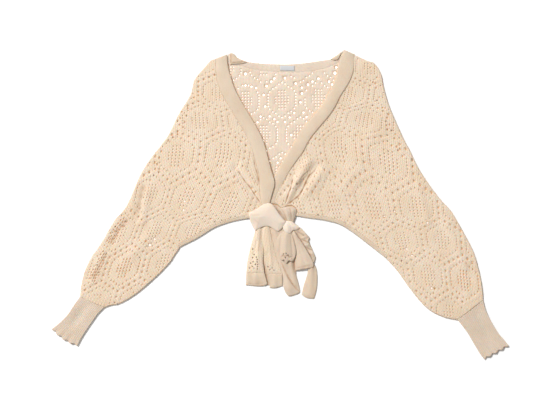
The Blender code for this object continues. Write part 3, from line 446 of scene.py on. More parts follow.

# %% [markdown]
# Cloth that has been worn, tied and laid down keeps its creases. Broad swells of
# the front layer are given as folds with a width and a height. The narrow dark
# lines that run into the knot and down the sleeves are creases with a path; they
# are dark partly from their depth and partly from painted shade.

# %% Folds and creases of the front layer
Fold = namedtuple("Fold", "x0 y0 x1 y1 width height")
Crease = namedtuple("Crease", "path width depth")
FRONT_FOLDS = [
    Fold(-106, 88, -61, 22, 7, -2.6), Fold(-92, 92, -52, 34, 9, 3.2),
    Fold(-128, 86, -74, 14, 11, 2.2), Fold(-61, 120, -48, 60, 5, -2.0),
    Fold(85, 91, 60, 56, 8, -2.8), Fold(60, 56, 34, 10, 8, -3.0),
    Fold(66, 100, 42, 60, 11, 5.0), Fold(42, 60, 20, 22, 9, 4.6),
    Fold(100, 78, 66, 30, 12, 3.0), Fold(31, 69, 19, 23, 5, -1.6),
    Fold(-333, 42, -345, -35, 8, -2.2), Fold(-318, 30, -330, -40, 10, 2.4),
    Fold(-394, -65, -409, -97, 8, -2.0), Fold(-425, -133, -452, -183, 9, 2.4),
    Fold(-300, -60, -380, -150, 14, 2.0), Fold(-236, 196, -150, 40, 22, 1.8),
    Fold(248, 220, 150, 40, 22, 1.8), Fold(330, 40, 352, -40, 11, 2.4),
    Fold(398, -50, 446, -150, 13, 2.6), Fold(322, -120, 392, -220, 14, 2.0),
    Fold(452, -150, 462, -214, 8, -1.8),
]
FRONT_CREASES = [
    Crease([(-108, 91), (-99, 77), (-84, 55), (-73, 42), (-60, 22), (-41, -5)], 1.7, 2.4),
    Crease([(-63, 120), (-62, 100), (-56, 78), (-52, 60), (-51, 44)], 1.6, 2.0),
    Crease([(86, 93), (81, 80), (70, 71), (62, 56), (54, 38), (44, 22), (32, 12), (8, -8)], 2.4, 3.4),
    Crease([(31, 70), (28, 52), (24, 36), (18, 20), (12, -2)], 1.9, 2.4),
    Crease([(92, 88), (97, 70), (99, 52)], 1.4, 0.8),
    Crease([(72, 84), (58, 72), (47, 60)], 1.5, 1.2),
]
SLEEVE_TROUGHS = [
    Crease([(-326, 52), (-332, 30), (-338, 4), (-343, -24)], 7.0, 1.2),
    Crease([(-362, -34), (-378, -48), (-393, -66), (-402, -82), (-409, -100)], 7.5, 1.5),
    Crease([(-413, -112), (-420, -122), (-428, -138), (-440, -160), (-450, -184)], 5.0, 1.7),
]
TROUGH_SHADE, TROUGH_STEP, TROUGH_EYELET = 0.34, 4.5, 1.15
TROUGH_ROWS = (-9.0, -4.5, 0.0, 4.5)
KNOT_MIDDLE, KNOT_CALM, KNOT_CALM_REACH = (-25, -10), 0.45, 70.0
GATHERS, GATHER_HEIGHT, GATHER_REACH = 9, 0.6, 42.0
print(len(FRONT_FOLDS), "folds and", len(FRONT_CREASES + SLEEVE_TROUGHS), "creases")

# %% [markdown]
# A few pieces of plane geometry serve every panel: a smooth line through the
# rows of a table, the distance from many points to a line at once, and a test
# for which points lie inside an outline. NumPy does them for a whole panel.

# %% Plane geometry
def smooth_line(rows, step):
    """Points about a step apart on a smooth open line through the rows."""
    points = np.array(rows, float)
    padded = np.vstack([2 * points[0] - points[1], points, 2 * points[-1] - points[-2]])
    out = []
    for before, start, end, after in zip(padded, padded[1:], padded[2:], padded[3:]):
        pieces = max(1, round(math.hypot(*(end - start)[:2]) / step))
        t = (np.arange(pieces) / pieces)[:, None]
        out.append(0.5 * (
            2 * start + (end - before) * t + (2 * before - 5 * start + 4 * end - after) * t**2
            + (3 * start - before - 3 * end + after) * t**3
        ))
    return np.vstack([*out, points[-1:]])


def distance_to(points, line):
    """Distance from each point to a line, and its place along it, in segments."""
    best, where = np.full(len(points), np.inf), np.zeros(len(points))
    for k, (start, end) in enumerate(zip(line, line[1:])):
        run = (end - start)[:2]
        square = run @ run
        if square < 1e-12:
            continue
        t = np.clip(((points - start[:2]) @ run) / square, 0, 1)
        away = np.hypot(*(points - start[:2] - t[:, None] * run).T)
        nearer = away < best
        best[nearer], where[nearer] = away[nearer], k + t[nearer]
    return best, where


def are_inside(points, outline):
    """Which points lie inside a closed outline."""
    odd = np.zeros(len(points), bool)
    x, y = points.T
    for (x0, y0), (x1, y1) in zip(outline[:, :2], np.roll(outline[:, :2], -1, axis=0)):
        if y0 != y1:
            odd ^= ((y0 > y) != (y1 > y)) & (x < (x1 - x0) * (y - y0) / (y1 - y0) + x0)
    return odd


def depth_inside(points, outline):
    """Distance inside a closed outline, negative outside it."""
    away, _ = distance_to(points, np.vstack([outline, outline[:1]]))
    return np.where(are_inside(points, outline), away, -away)


def loop_of(*lines):
    """One closed outline from lines that meet end to end."""
    points = np.vstack([line[:, :2] for line in lines])
    keep = [0]
    for k in range(1, len(points)):
        if np.hypot(*(points[k] - points[keep[-1]])) > 0.5:
            keep.append(k)
    if np.hypot(*(points[keep[0]] - points[keep[-1]])) < 0.5:
        keep.pop()
    return points[keep]


def moved_aside(line, distance):
    """A line moved to the left of its own direction."""
    along = np.gradient(line[:, :2], axis=0)
    along /= np.linalg.norm(along, axis=1)[:, None]
    return line[:, :2] + distance * np.column_stack([-along[:, 1], along[:, 0]])


EDGE_STEP = 5.0


def seam(rows):
    """The smooth line through the first two numbers of each row."""
    return smooth_line([row[:2] for row in rows], EDGE_STEP)


def underarm(side):
    """The lower folded edge of a side's sleeve."""
    return smooth_line([row[2:4] for row in side.sleeve], EDGE_STEP)


def top_edge(side):
    """The upper folded edge of a side, from its shoulder to its cuff."""
    return seam([*side.shoulder, *[row[:2] for row in side.sleeve[1:]]])


def cuff_seam(side):
    """The line where a side's sleeve is gathered into its cuff."""
    return seam([side.sleeve[-1][:2], side.sleeve[-1][2:4]])


print("points on the left top edge", len(top_edge(LEFT)))

# %% [markdown]
# The front layer lies on the back. Its height above the floor is one function of
# place, so that panels, hems and bands all meet: it swells away from folded
# edges, carries the folds and creases, is gathered above the cuffs, and calms
# near the knot. A second function says how deep in a crease a place is, which
# the yarn material uses for its painted shade.

# %% Height of the front layer
CREASE_STEP, CREASE_END, CREASE_UNEVEN = 6.0, 0.16, 0.16
SLACK = 0.35
FOLDED_EDGES = [
    edge for side in (LEFT, RIGHT)
    for edge in (top_edge(side), underarm(side), seam(side.hem_edge))
]


def crease_depth(points, creases):
    """How far each point is down a crease, in millimetres, and as a share."""
    drop, share = np.zeros(len(points)), np.zeros(len(points))
    for crease in creases:
        line = smooth_line(crease.path, CREASE_STEP)
        away, where = distance_to(points, line)
        end = np.minimum(where, len(line) - 1 - where) / (CREASE_END * len(line))
        uneven = 1 - CREASE_UNEVEN + CREASE_UNEVEN * np.sin(where * 1.9 + crease.width * 5)
        here = np.exp(-((away / crease.width) ** 2)) * np.clip(end + 0.1, 0, 1) * uneven
        drop = np.maximum(drop, crease.depth * here)
        share = np.maximum(share, here)
    return drop, share


def front_under(points):
    """The height of the front layer's underside at each place."""
    edge = np.min([distance_to(points, line)[0] for line in FOLDED_EDGES], axis=0)
    lift = PUFF * (1 - np.exp(-edge / PUFF_REACH))
    for fold in FRONT_FOLDS:
        away, _ = distance_to(points, np.array([fold[:2], fold[2:4]], float))
        lift += fold.height * np.exp(-((away / fold.width) ** 2)) * (1 - np.exp(-edge / 8))
    x, y = points.T
    slack = SLACK * np.sin(x / 19 + 0.6 * np.sin(y / 31)) * np.sin(y / 23 + 1.3)
    lift += slack * np.clip(edge / 20, 0, 1)
    lift -= crease_depth(points, FRONT_CREASES)[0] + crease_depth(points, SLEEVE_TROUGHS)[0]
    for side in (LEFT, RIGHT):
        gathered = np.array([side.cuff[0][:2], side.cuff[0][2:4]], float)
        away, along = distance_to(points, gathered)
        wave = 0.5 - 0.5 * np.cos(math.tau * GATHERS * along)
        lift += GATHER_HEIGHT * wave * np.clip(1 - away / GATHER_REACH, 0, 1)
    knot = np.hypot(x - KNOT_MIDDLE[0], y - KNOT_MIDDLE[1])
    lift *= 1 - KNOT_CALM * np.exp(-((knot / KNOT_CALM_REACH) ** 2))
    return LAYER + np.maximum(0.0, lift)


print("height inside the left front", front_under(np.array([[-193.0, 201.0]])).round(2), "mm")

# %% [markdown]
# ## The lace
# The knitted lace is a honeycomb of six-sided medallions, each 24 stitches wide
# and 32 rows high: a border of large eyelets, a line of small ones inside it,
# and a mesh of small eyelets in the middle. Its chart is listed below. The flat
# chart is then bent smoothly over each panel, so that its medallions lie where
# they do on the laid-out garment; a few middles steer the whole chart.

# %% Lace chart
Medallion = namedtuple("Medallion", "column row x y")
Eyelets = namedtuple("Eyelets", "border ring core")
FRONT_EYELETS, BACK_EYELETS = Eyelets(1.65, 1.05, 1.1), Eyelets(2.6, 1.3, 1.1)
LACE_BACK = [
    Medallion(0, 0, 4, 251), Medallion(2, 0, 92, 254), Medallion(-2, 0, -84, 248),
    Medallion(-1, 1, -40, 167), Medallion(1, 1, 48, 167), Medallion(-8, 4, -350, -80),
    Medallion(9, 5, 420, -170), Medallion(-6, 0, -255, 245), Medallion(6, 0, 265, 248),
]
LACE_LEFT = [
    Medallion(0, 0, -193, 201), Medallion(1, -1, -145, 267), Medallion(-1, 1, -250, 117),
    Medallion(1, 1, -134, 121), Medallion(-2, 2, -310, 24), Medallion(0, 2, -226, 11),
    Medallion(2, 2, -121, 0), Medallion(-3, 3, -387, -68), Medallion(-1, 3, -301, -63),
    Medallion(1, 3, -209, -63), Medallion(-2, 4, -374, -152), Medallion(0, 4, -279, -143),
]
LACE_RIGHT = [
    Medallion(0, 0, 201, 203), Medallion(-1, -1, 163, 263), Medallion(-1, 1, 139, 136),
    Medallion(1, 1, 261, 102), Medallion(-2, 2, 131, -3), Medallion(0, 2, 223, -8),
    Medallion(2, 2, 328, -8), Medallion(1, 3, 292, -87), Medallion(3, 3, 388, -85),
    Medallion(2, 4, 355, -169), Medallion(4, 4, 441, -183), Medallion(-3, 1, 61, 102),
]
BORDER = [(0, 16), (3, 14), (6, 12), (9, 10), (12, 8), (12, 4), (12, 0)]
INNER_RING = [(0, 12), (2, 11), (4, 9), (6, 8), (8, 6), (9, 4), (9, 2), (9, 0)]
CORE_COLUMNS, CORE_ROWS = (-4, -2, 0, 2, 4), (-6, -4, -2, 0, 2, 4, 6)
CORE_WIDTH, CORE_HEIGHT, CORE_CORNER = 4.5, 8.5, 1.35  # leaves out the core's corners


class Chart:
    """The lace's flat chart, bent smoothly so that its medallions lie where a table says."""

    def __init__(self, rows):
        """Solves for the bend that brings each medallion's middle to its place."""
        self.knots = np.array([
            (row.column * MEDALLION_WIDTH / 2, -row.row * ROW_PITCH) for row in rows
        ])
        count = len(rows)
        ones = np.hstack([np.ones((count, 1)), self.knots])
        system = np.zeros((count + 3, count + 3))
        system[:count, :count] = self.bend(self.knots)
        system[:count, count:] = ones
        system[count:, :count] = ones.T
        places = np.vstack([[(row.x, row.y) for row in rows], np.zeros((3, 2))])
        self.weights = np.linalg.solve(system, places)

    def bend(self, points):
        """How strongly each steered middle bends the cloth at each point."""
        away = np.linalg.norm(points[:, None] - self.knots[None], axis=2) + 1e-9
        return away**2 * np.log(away)

    def __call__(self, flat):
        """Where points of the flat chart lie on the garment."""
        terms = np.hstack([self.bend(flat), np.ones((len(flat), 1)), flat])
        return terms @ self.weights


def medallions():
    """The column, in half widths, and the row of every medallion in the chart."""
    for row in range(-4, 9):
        for column in range(-14 + row % 2, 15, 2):
            yield column, row


def honeycomb(sizes):
    """Radius of the eyelet at each stitch of the chart, by (wale, course)."""
    out = {}
    for column, row in medallions():
        wale, course = MEDALLION_WALES // 2 * column, -ROW_COURSES * row
        for spots, radius in ((BORDER, sizes.border), (INNER_RING, sizes.ring)):
            for (a, b), side, up in product(spots, (-1, 1), (-1, 1)):
                out.setdefault((wale + side * a, course + up * b), radius)
        for a, b in product(CORE_COLUMNS, CORE_ROWS):
            if abs(a) / CORE_WIDTH + abs(b) / CORE_HEIGHT < CORE_CORNER:
                out.setdefault((wale + a, course + b), sizes.core)
    return out


def hexagon(flat):
    """0 in the middle of a medallion and 1 on its border."""
    half_width, half_height = MEDALLION_WIDTH / 2, MEDALLION_HEIGHT / 2
    best = np.full(len(flat), 9.0)
    for column, row in medallions():
        x = np.abs(flat[:, 0] - column * half_width)
        y = np.abs(flat[:, 1] + row * ROW_PITCH)
        slant = (y + x * MEDALLION_SIDE / MEDALLION_WIDTH) / half_height
        best = np.minimum(best, np.maximum(x / half_width, slant))
    return best


BACK_CHART = honeycomb(BACK_EYELETS)
print("eyelets in the back's chart", len(BACK_CHART))

# %% [markdown]
# A sheet of cloth is made stitch by stitch: a grid with one cell for each stitch,
# mapped through the chart. An eyelet takes the cells round its stitch and fills
# them with a ring of faces round its hole. A modifier that cuts holes would be
# slower and leave slivers; here every face belongs to a stitch or to a rim.

# %% Stitches and eyelets
LEAST_EYELET, SMALL_EYELET = 0.3, 1.6
EYELET_STRETCH, WIDE_STRETCH, TALL_STRETCH = 1.3, 1.1, 1.5
NEAR, FAR = 9.0, 99.0
FULL_BLOCK = 0.9  # the share of its block of stitches that the largest eyelet takes


def grown_from(seeds, allowed):
    """The part of a grid that joins the seeds."""
    reach = seeds & allowed
    while True:
        grown = reach.copy()
        grown[1:] |= reach[:-1]
        grown[:-1] |= reach[1:]
        grown[:, 1:] |= reach[:, :-1]
        grown[:, :-1] |= reach[:, 1:]
        grown &= allowed
        if grown.sum() == reach.sum():
            return reach
        reach = grown


def round_block(a, b):
    """The corners round a block of cells that reaches a wales and b courses each way."""
    right = [(a, y) for y in range(-b, b)]
    top = [(x, b) for x in range(a, -a, -1)]
    return right + top + [(-x, -y) for x, y in right + top]


def depth_near(place, outline):
    """Depth inside an outline, worked out only for the places near it."""
    low, high = outline.min(axis=0) - NEAR, outline.max(axis=0) + NEAR
    boxed = np.all((place > low) & (place < high), axis=1)
    depth = np.full(len(place), -FAR)
    depth[boxed] = depth_inside(place[boxed], outline)
    return depth


def nearest(place, x, y):
    """The number of the stitch that lies nearest to a place."""
    return np.argmin(np.hypot(place[:, 0] - x, place[:, 1] - y))


def block_of(radius, cell, block, by_place):
    """How many stitches an eyelet takes to each side, and how many up and down."""
    wide, tall = block if radius > SMALL_EYELET else (1, 1)
    if by_place:
        wide = max(wide, math.ceil(radius / (FULL_BLOCK * cell[0])))
        tall = max(tall, math.ceil(radius / (FULL_BLOCK * cell[1])))
    return wide, tall


def rim_of(ring, cell, stitch, radius, stretch):
    """The corners of an eyelet's rim on the flat chart, one for each corner of its block."""
    wide, tall = max(ring)
    corners = []
    for a, b in ring:
        angle = math.atan2(b / tall, a / wide)
        corners.append((
            stitch[0] * cell[0] + radius * math.cos(angle),
            stitch[1] * cell[1] + stretch * radius * math.sin(angle),
        ))
    return corners


def stitch_cells(outline, chart, cell, span, middles, holes, margin, block=(1, 1), vary=None,
                 through=()):
    """A panel's flat triangles, as corner values (x, y, u, v, rim) and triangles, and its eyelets.

    The holes are by stitch of the chart. Those in through are by place, and come first.
    """
    i0, i1, j0, j1 = span
    wales, courses = np.meshgrid(np.arange(i0, i1 + 1), np.arange(j0, j1 + 1), indexing="ij")
    shape = wales.shape
    flat = np.column_stack([wales.ravel() * cell[0], courses.ravel() * cell[1]])
    place = chart(flat)
    depth = depth_near(place, outline)
    seeds = np.zeros(shape, bool)
    for x, y in middles:
        seeds.ravel()[nearest(place, x, y)] = True
    reached = grown_from(seeds, (depth > -NEAR).reshape(shape))
    whole = reached[:-1, :-1] & reached[1:, :-1] & reached[:-1, 1:] & reached[1:, 1:]
    index = np.arange(len(flat)).reshape(shape)
    placed = {}
    for x, y, radius in through:
        stitch = nearest(place, x, y)
        placed[(int(wales.ravel()[stitch]), int(courses.ravel()[stitch]))] = radius

    ring_flat, ring_faces, spots = [], [], []
    for (wale, course), radius in sorted(
            {**holes, **placed}.items(), key=lambda item: (item[0] not in placed, -item[1])):
        i, j = wale - i0, course - j0
        by_place = (wale, course) in placed
        wide, tall = block_of(radius, cell, block, by_place)
        if not (wide <= i < shape[0] - wide and tall <= j < shape[1] - tall):
            continue
        cells = (slice(i - wide, i + wide), slice(j - tall, j + tall))
        if not whole[cells].all() or depth.reshape(shape)[i, j] < margin + radius:
            continue
        x, y = place.reshape(*shape, 2)[i, j]
        scale, stretch = 1.0, EYELET_STRETCH
        if by_place:
            stretch = WIDE_STRETCH if radius > SMALL_EYELET else TALL_STRETCH
        elif vary is not None:
            scale, stretch = vary(x, y, wale, course)
        radius *= scale
        if radius < LEAST_EYELET:
            continue
        whole[cells] = False
        radius = min(radius, FULL_BLOCK * wide * cell[0])
        stretch = min(stretch, FULL_BLOCK * tall * cell[1] / radius)
        spots.append((x, y, radius))
        ring = round_block(wide, tall)
        outer = [index[i + a, j + b] for a, b in ring]
        first = len(flat) + len(ring_flat)
        ring_flat += rim_of(ring, cell, (wale, course), radius, stretch)
        for k in range(len(ring)):
            n = (k + 1) % len(ring)
            ring_faces += [(outer[k], outer[n], first + n), (outer[k], first + n, first + k)]

    values, depths, triangles = [np.column_stack([place, flat, np.zeros(len(flat))])], [depth], []
    if ring_flat:
        ring_flat = np.array(ring_flat)
        values.append(np.column_stack([chart(ring_flat), ring_flat, np.ones(len(ring_flat))]))
        depths.append(np.full(len(ring_flat), margin))
        triangles.append(np.array(ring_faces))
    a, b = index[:-1, :-1][whole], index[1:, :-1][whole]
    c, d = index[1:, 1:][whole], index[:-1, 1:][whole]
    triangles += [np.column_stack([a, b, c]), np.column_stack([a, c, d])]
    return trimmed(np.vstack(triangles), np.concatenate(depths), np.vstack(values)), spots


# %% [markdown]
# The grid is then cut along the panel's outline, where the depth inside it is
# nought. Near a crease its triangles are split twice more, because a crease is
# narrower than a stitch and would otherwise show the grid's steps.

# %% Cut along the outline
def trimmed(triangles, depth, values):
    """Cuts flat triangles along the outline, where the depth is nought."""
    keep = depth > 0
    inner = keep[triangles].sum(axis=1)
    out = [triangles[inner == 3]]
    made, extra = {}, []

    def cut(a, b):
        """The new corner where the outline crosses a side, made once for both its faces."""
        key = (min(a, b), max(a, b))
        if key not in made:
            p, q = key
            corner = values[p] + (values[q] - values[p]) * depth[p] / (depth[p] - depth[q])
            corner[4] = 1.0
            made[key] = len(values) + len(extra)
            extra.append(corner)
        return made[key]

    pieces = []
    for corners in triangles[(inner > 0) & (inner < 3)].tolist():
        ring = []
        for p, q in zip(corners, corners[1:] + corners[:1]):
            if keep[p]:
                ring.append(p)
            if keep[p] != keep[q]:
                ring.append(cut(p, q))
        pieces += [(ring[0], ring[k], ring[k + 1]) for k in range(1, len(ring) - 1)]
    if pieces:
        out.append(np.array(pieces))
    if extra:
        values = np.vstack([values, extra])
    triangles = np.vstack(out)
    used, compact = np.unique(triangles, return_inverse=True)
    return values[used], compact.reshape(triangles.shape)


def refined(values, triangles, creases, reach=6.0, rounds=2):
    """Splits the triangles along creases, so that these run as smooth lines."""
    lines = [smooth_line(crease.path, CREASE_STEP) for crease in creases]
    for step in range(rounds):
        away = np.min([distance_to(values[:, :2], line)[0] for line in lines], axis=0)
        close = away < reach / (1 + step)
        picked = close[triangles].sum(axis=1) >= 2
        made, extra, parts = {}, [], []

        def middle(a, b):
            """The new corner in the middle of a side, made once for both its faces."""
            key = (min(a, b), max(a, b))
            if key not in made:
                made[key] = len(values) + len(extra)
                extra.append((values[a] + values[b]) / 2)
            return made[key]

        for corners in triangles[picked].tolist():
            near = [bool(close[k]) for k in corners]
            if all(near):
                a, b, c = corners
                p, q, r = middle(a, b), middle(b, c), middle(c, a)
                parts += [(a, p, r), (p, b, q), (r, q, c), (p, q, r)]
            else:
                k = near.index(False)
                a, b, c = corners[k], corners[k - 2], corners[k - 1]
                p = middle(b, c)
                parts += [(a, b, p), (a, p, c)]
        triangles = np.vstack([triangles[~picked], np.array(parts)])
        values = np.vstack([values, extra])
    return values, triangles


# %% [markdown]
# Every piece becomes a closed mesh with a UV map in millimetres of knitted cloth
# and three tones of painted light and shade on its points. A sheet gets a wall,
# whose top and bottom are drawn together at every rim, so that edges and eyelets
# look rounded as yarn is.

# %% Walls and meshes
RIM_DROP, RIM_WALL_SHADE = 0.62, 0.35
THIN_RIM = 0.3 * WALL


def new_piece(name, points, faces, uv, material, **tones):
    """A closed, smooth-shaded mesh object with its cloth UV map and its tones."""
    mesh = bpy.data.meshes.new(name)
    mesh.from_pydata((np.asarray(points) * MM).tolist(), [], [list(map(int, f)) for f in faces])
    corners = np.empty(len(mesh.loops), np.int32)
    mesh.loops.foreach_get("vertex_index", corners)
    layer = mesh.uv_layers.new(name="cloth")
    layer.data.foreach_set("uv", np.asarray(uv, np.float32)[corners].ravel())
    for tone in LIGHT_AND_SHADE_TONES:
        values = np.asarray(tones.get(tone, np.zeros(len(points))), np.float32)
        mesh.attributes.new(tone, "FLOAT", "POINT").data.foreach_set("value", values)
    mesh.polygons.foreach_set("use_smooth", np.ones(len(mesh.polygons), bool))
    mesh.materials.append(material)
    mesh.validate()
    return new_object(name, mesh)


def walled(name, values, triangles, under, material, **tones):
    """Gives flat triangles their height and a wall of cloth, closed at every rim."""
    x, y, u, v, rim = values.T
    drop = RIM_DROP * rim
    top = np.column_stack([x, y, under + WALL - drop])
    bottom = np.column_stack([x, y, under + np.minimum(drop, THIN_RIM)])
    count = len(values)
    sides = np.vstack([triangles[:, [0, 1]], triangles[:, [1, 2]], triangles[:, [2, 0]]])
    keys = sides[:, 0] * count + sides[:, 1]
    back = sides[:, 1] * count + sides[:, 0]
    open_sides = sides[~np.isin(keys, back)]
    faces = [tuple(t) for t in triangles.tolist()]
    faces += [(a + count, c + count, b + count) for a, b, c in triangles.tolist()]
    faces += [(a, a + count, b + count, b) for a, b in open_sides.tolist()]
    # The painted warm shade and glow under a layer go on the top face only
    doubled = {
        tone: np.concatenate([value, value * (tone != "covered")]) for tone, value in tones.items()
    }
    uv = np.column_stack([np.tile(u, 2), np.tile(v, 2)])
    # Painted shade: the walls and underside take more of the deep tone than the top
    return new_piece(
        name, np.vstack([top, bottom]), faces, uv, material,
        rim=np.concatenate([rim, np.minimum(1.0, rim + RIM_WALL_SHADE)]), **doubled,
    )


def triangle_count(piece):
    """How many triangles a piece's faces come to."""
    return sum(len(face.vertices) - 2 for face in piece.data.polygons)


# %% [markdown]
# Some eyelets are given by their place on the garment and not by the chart: a few
# that show the white floor through both layers, tall ones in rows that a folded
# edge pulls open, and close dark ones where a fold squeezes the sleeve.

# %% Eyelets given by place
THROUGH_BOTH = [
    (-312.6, -95.8, 3.6), (-322.2, -87.4, 2.6), (-300.6, -83.8, 2.6), (-229.8, 7.4, 2.6),
    (-232.2, -11.8, 2.5), (274.2, -17.8, 2.5), (249, -27.4, 2.4), (352.2, -44.2, 2.5),
    (301.8, -106.6, 2.4), (315, -122.2, 2.5), (363, -199, 2.7), (369, -202.6, 2.4),
]
FOLD_EYELETS = [
    (-197, 261, 1.5), (-207, 257, 1.4), (-186, 263, 1.3), (-220, 231, 1.5), (-235, 223, 1.3),
    (-224, 213, 1.5), (-239, 208, 1.3), (-228, 198, 1.4), (-241, 192, 1.5), (-232, 184, 1.3),
    (-245, 168, 1.5), (-257, 160, 1.6), (-268, 152, 1.6), (-284, 126, 1.5), (-289, 111, 1.6),
    (-295, 98, 1.6), (-299, 85, 1.4), (-290, 86, 1.4), (-303, 70, 1.3), (-311, 58, 1.3),
    (231, 305, 1.4), (222, 293, 1.4), (229, 280, 1.3), (231, 250, 1.4), (237, 258, 1.2),
    (245, 231, 1.5), (256, 208, 1.4), (252, 199, 1.2), (261, 192, 1.4), (255, 189, 1.3),
    (267, 177, 1.6), (273, 159, 1.6), (268, 140, 1.4), (280, 138, 1.4), (288, 133, 1.3),
    (281, 129, 1.2), (293, 117, 1.4), (217, 327, 1.3),
]


def squeezed_eyelets():
    """Where a fold squeezes the sleeve's lace, its eyelets stand close and dark."""
    found = []
    for trough in SLEEVE_TROUGHS[1:]:
        line = smooth_line(trough.path, TROUGH_STEP)
        for k, row in enumerate(TROUGH_ROWS):
            beside = moved_aside(line, row)[2 + k % 2 : -1]
            found += [(x, y, TROUGH_EYELET) for x, y in beside[:, :2]]
    return found


PLACED_EYELETS = THROUGH_BOTH + FOLD_EYELETS + squeezed_eyelets()
print("eyelets given by place on the fronts", len(PLACED_EYELETS))

# %% [markdown]
# The two fronts, each in one with its sleeve, as a batwing is cut. Each front
# runs from the folded top edge to the hem and from the band's seam to the cuff.
# Its eyelets vary as in worn lace: more open by the fold and in one large ring of
# each sleeve, and none in a crease or right at the cuff.

# %% Fronts with their sleeves
SPAN = (-170, 170, -200, 100)
HALF_WALES = 2  # two cells for each wale, so that creases and folds run smoothly
LACE_MARGIN = 2.4
HONEY_RELIEF, HONEY_STRIP, STRIP_WIDTH, WALE_RELIEF = 0.4, 0.87, 0.07, 0.22
PLAIN_END, HEM_TUCK = 15.0, 0.6
FOLD_REACH, RING_REACH, CUFF_REACH = 26, 60, 22
BIG_RING_LEFT, BIG_RING_RIGHT = (-372, -152), (441, -183)
CREASED, SHADE_LEAST, SHADE_MOST, CUFF_SHADE = 0.05, 0.3, 0.92, 0.05
# How open an eyelet is, as shares of its size, and how much taller than wide
LEAST_OPEN, FOLD_OPEN, RING_OPEN, UNEVEN_OPEN = 0.7, 0.3, 0.5, 0.2
LARGE_EYELET, FOLD_STRETCH, RING_STRETCH = 1.1, 0.7, 0.2


def lace_relief(flat):
    """The solid strip inside each border stands a little proud of the eyelets."""
    return HONEY_RELIEF * np.exp(-(((hexagon(flat) - HONEY_STRIP) / STRIP_WIDTH) ** 2))


def front_outline(side):
    """The outline of a front in one with its sleeve, which ends inside its hem."""
    hem_top = moved_aside(seam(side.hem_edge), side.turn * HEM_WIDTH * HEM_TUCK)
    return loop_of(
        top_edge(side), cuff_seam(side), underarm(side)[::-1],
        hem_top[:-1], seam(side.knot_end), seam(side.band)[::-1],
    )


def front(side, rows, big_ring):
    """A front with its upper sleeve, and the places and sizes of its eyelets."""
    fold, cuff_line = top_edge(side), cuff_seam(side)
    holes = {
        (HALF_WALES * wale, course): radius
        for (wale, course), radius in honeycomb(FRONT_EYELETS).items()
    }

    def vary(x, y, wale, course):
        """An eyelet's share of its charted size, and its stretch."""
        spot = np.array([[x, y]])
        if crease_depth(spot, FRONT_CREASES)[1][0] > CREASED:
            return 0.0, 1.0
        if distance_to(spot, cuff_line)[0][0] < PLAIN_END:
            return 0.0, 1.0
        near_fold = distance_to(spot, fold)[0][0]
        large = holes.get((wale, course), 0) > LARGE_EYELET
        open_edge = math.exp(-((near_fold / FOLD_REACH) ** 2)) * large
        in_ring = math.hypot(x - big_ring[0], y - big_ring[1])
        in_ring = math.exp(-((in_ring / RING_REACH) ** 4))
        uneven = math.sin(wale * 1.7 + course * 0.9) * math.sin(wale * 0.31 - course * 1.3)
        return (LEAST_OPEN + FOLD_OPEN * open_edge + RING_OPEN * in_ring + UNEVEN_OPEN * uneven,
                EYELET_STRETCH + FOLD_STRETCH * open_edge + RING_STRETCH * in_ring)

    span = (HALF_WALES * SPAN[0], HALF_WALES * SPAN[1], *SPAN[2:])
    (values, triangles), spots = stitch_cells(
        front_outline(side), Chart(rows), (WALE / HALF_WALES, COURSE), span,
        [(row.x, row.y) for row in rows], holes, LACE_MARGIN,
        block=(2, 1), vary=vary, through=PLACED_EYELETS,
    )
    values, triangles = refined(values, triangles, FRONT_CREASES)
    flat = values[:, 2:4]
    under = front_under(values[:, :2]) + lace_relief(flat)
    under = under + WALE_RELIEF * np.cos(math.tau * flat[:, 0] / WALE)
    # Painted shade in the creases and sleeve troughs, and a little darker near the cuff
    drop, share = crease_depth(values[:, :2], FRONT_CREASES)
    shade = share**1.4 * np.clip(0.45 * drop, SHADE_LEAST, SHADE_MOST)
    shade = np.maximum(shade, TROUGH_SHADE * crease_depth(values[:, :2], SLEEVE_TROUGHS)[1])
    at_cuff = distance_to(values[:, :2], cuff_line)[0]
    shade = np.maximum(shade, CUFF_SHADE * np.exp(-((at_cuff / CUFF_REACH) ** 2)))
    values[:, 4] *= np.clip(at_cuff / 4, 0.3, 1)
    piece = walled(f"lace_front_{side.name}", values, triangles, under, lace_yarn, shade=shade)
    print(piece.name, len(spots), "eyelets,", triangle_count(piece), "triangles")
    return piece, spots


front_left, spots_left = front(LEFT, LACE_LEFT, BIG_RING_LEFT)
front_right, spots_right = front(RIGHT, LACE_RIGHT, BIG_RING_RIGHT)

# %% [markdown]
# The back with both sleeves is one wide panel. Its lace shows through the V as a
# single layer over the white floor, and behind the fronts it takes a painted warm
# shade and a painted glow.

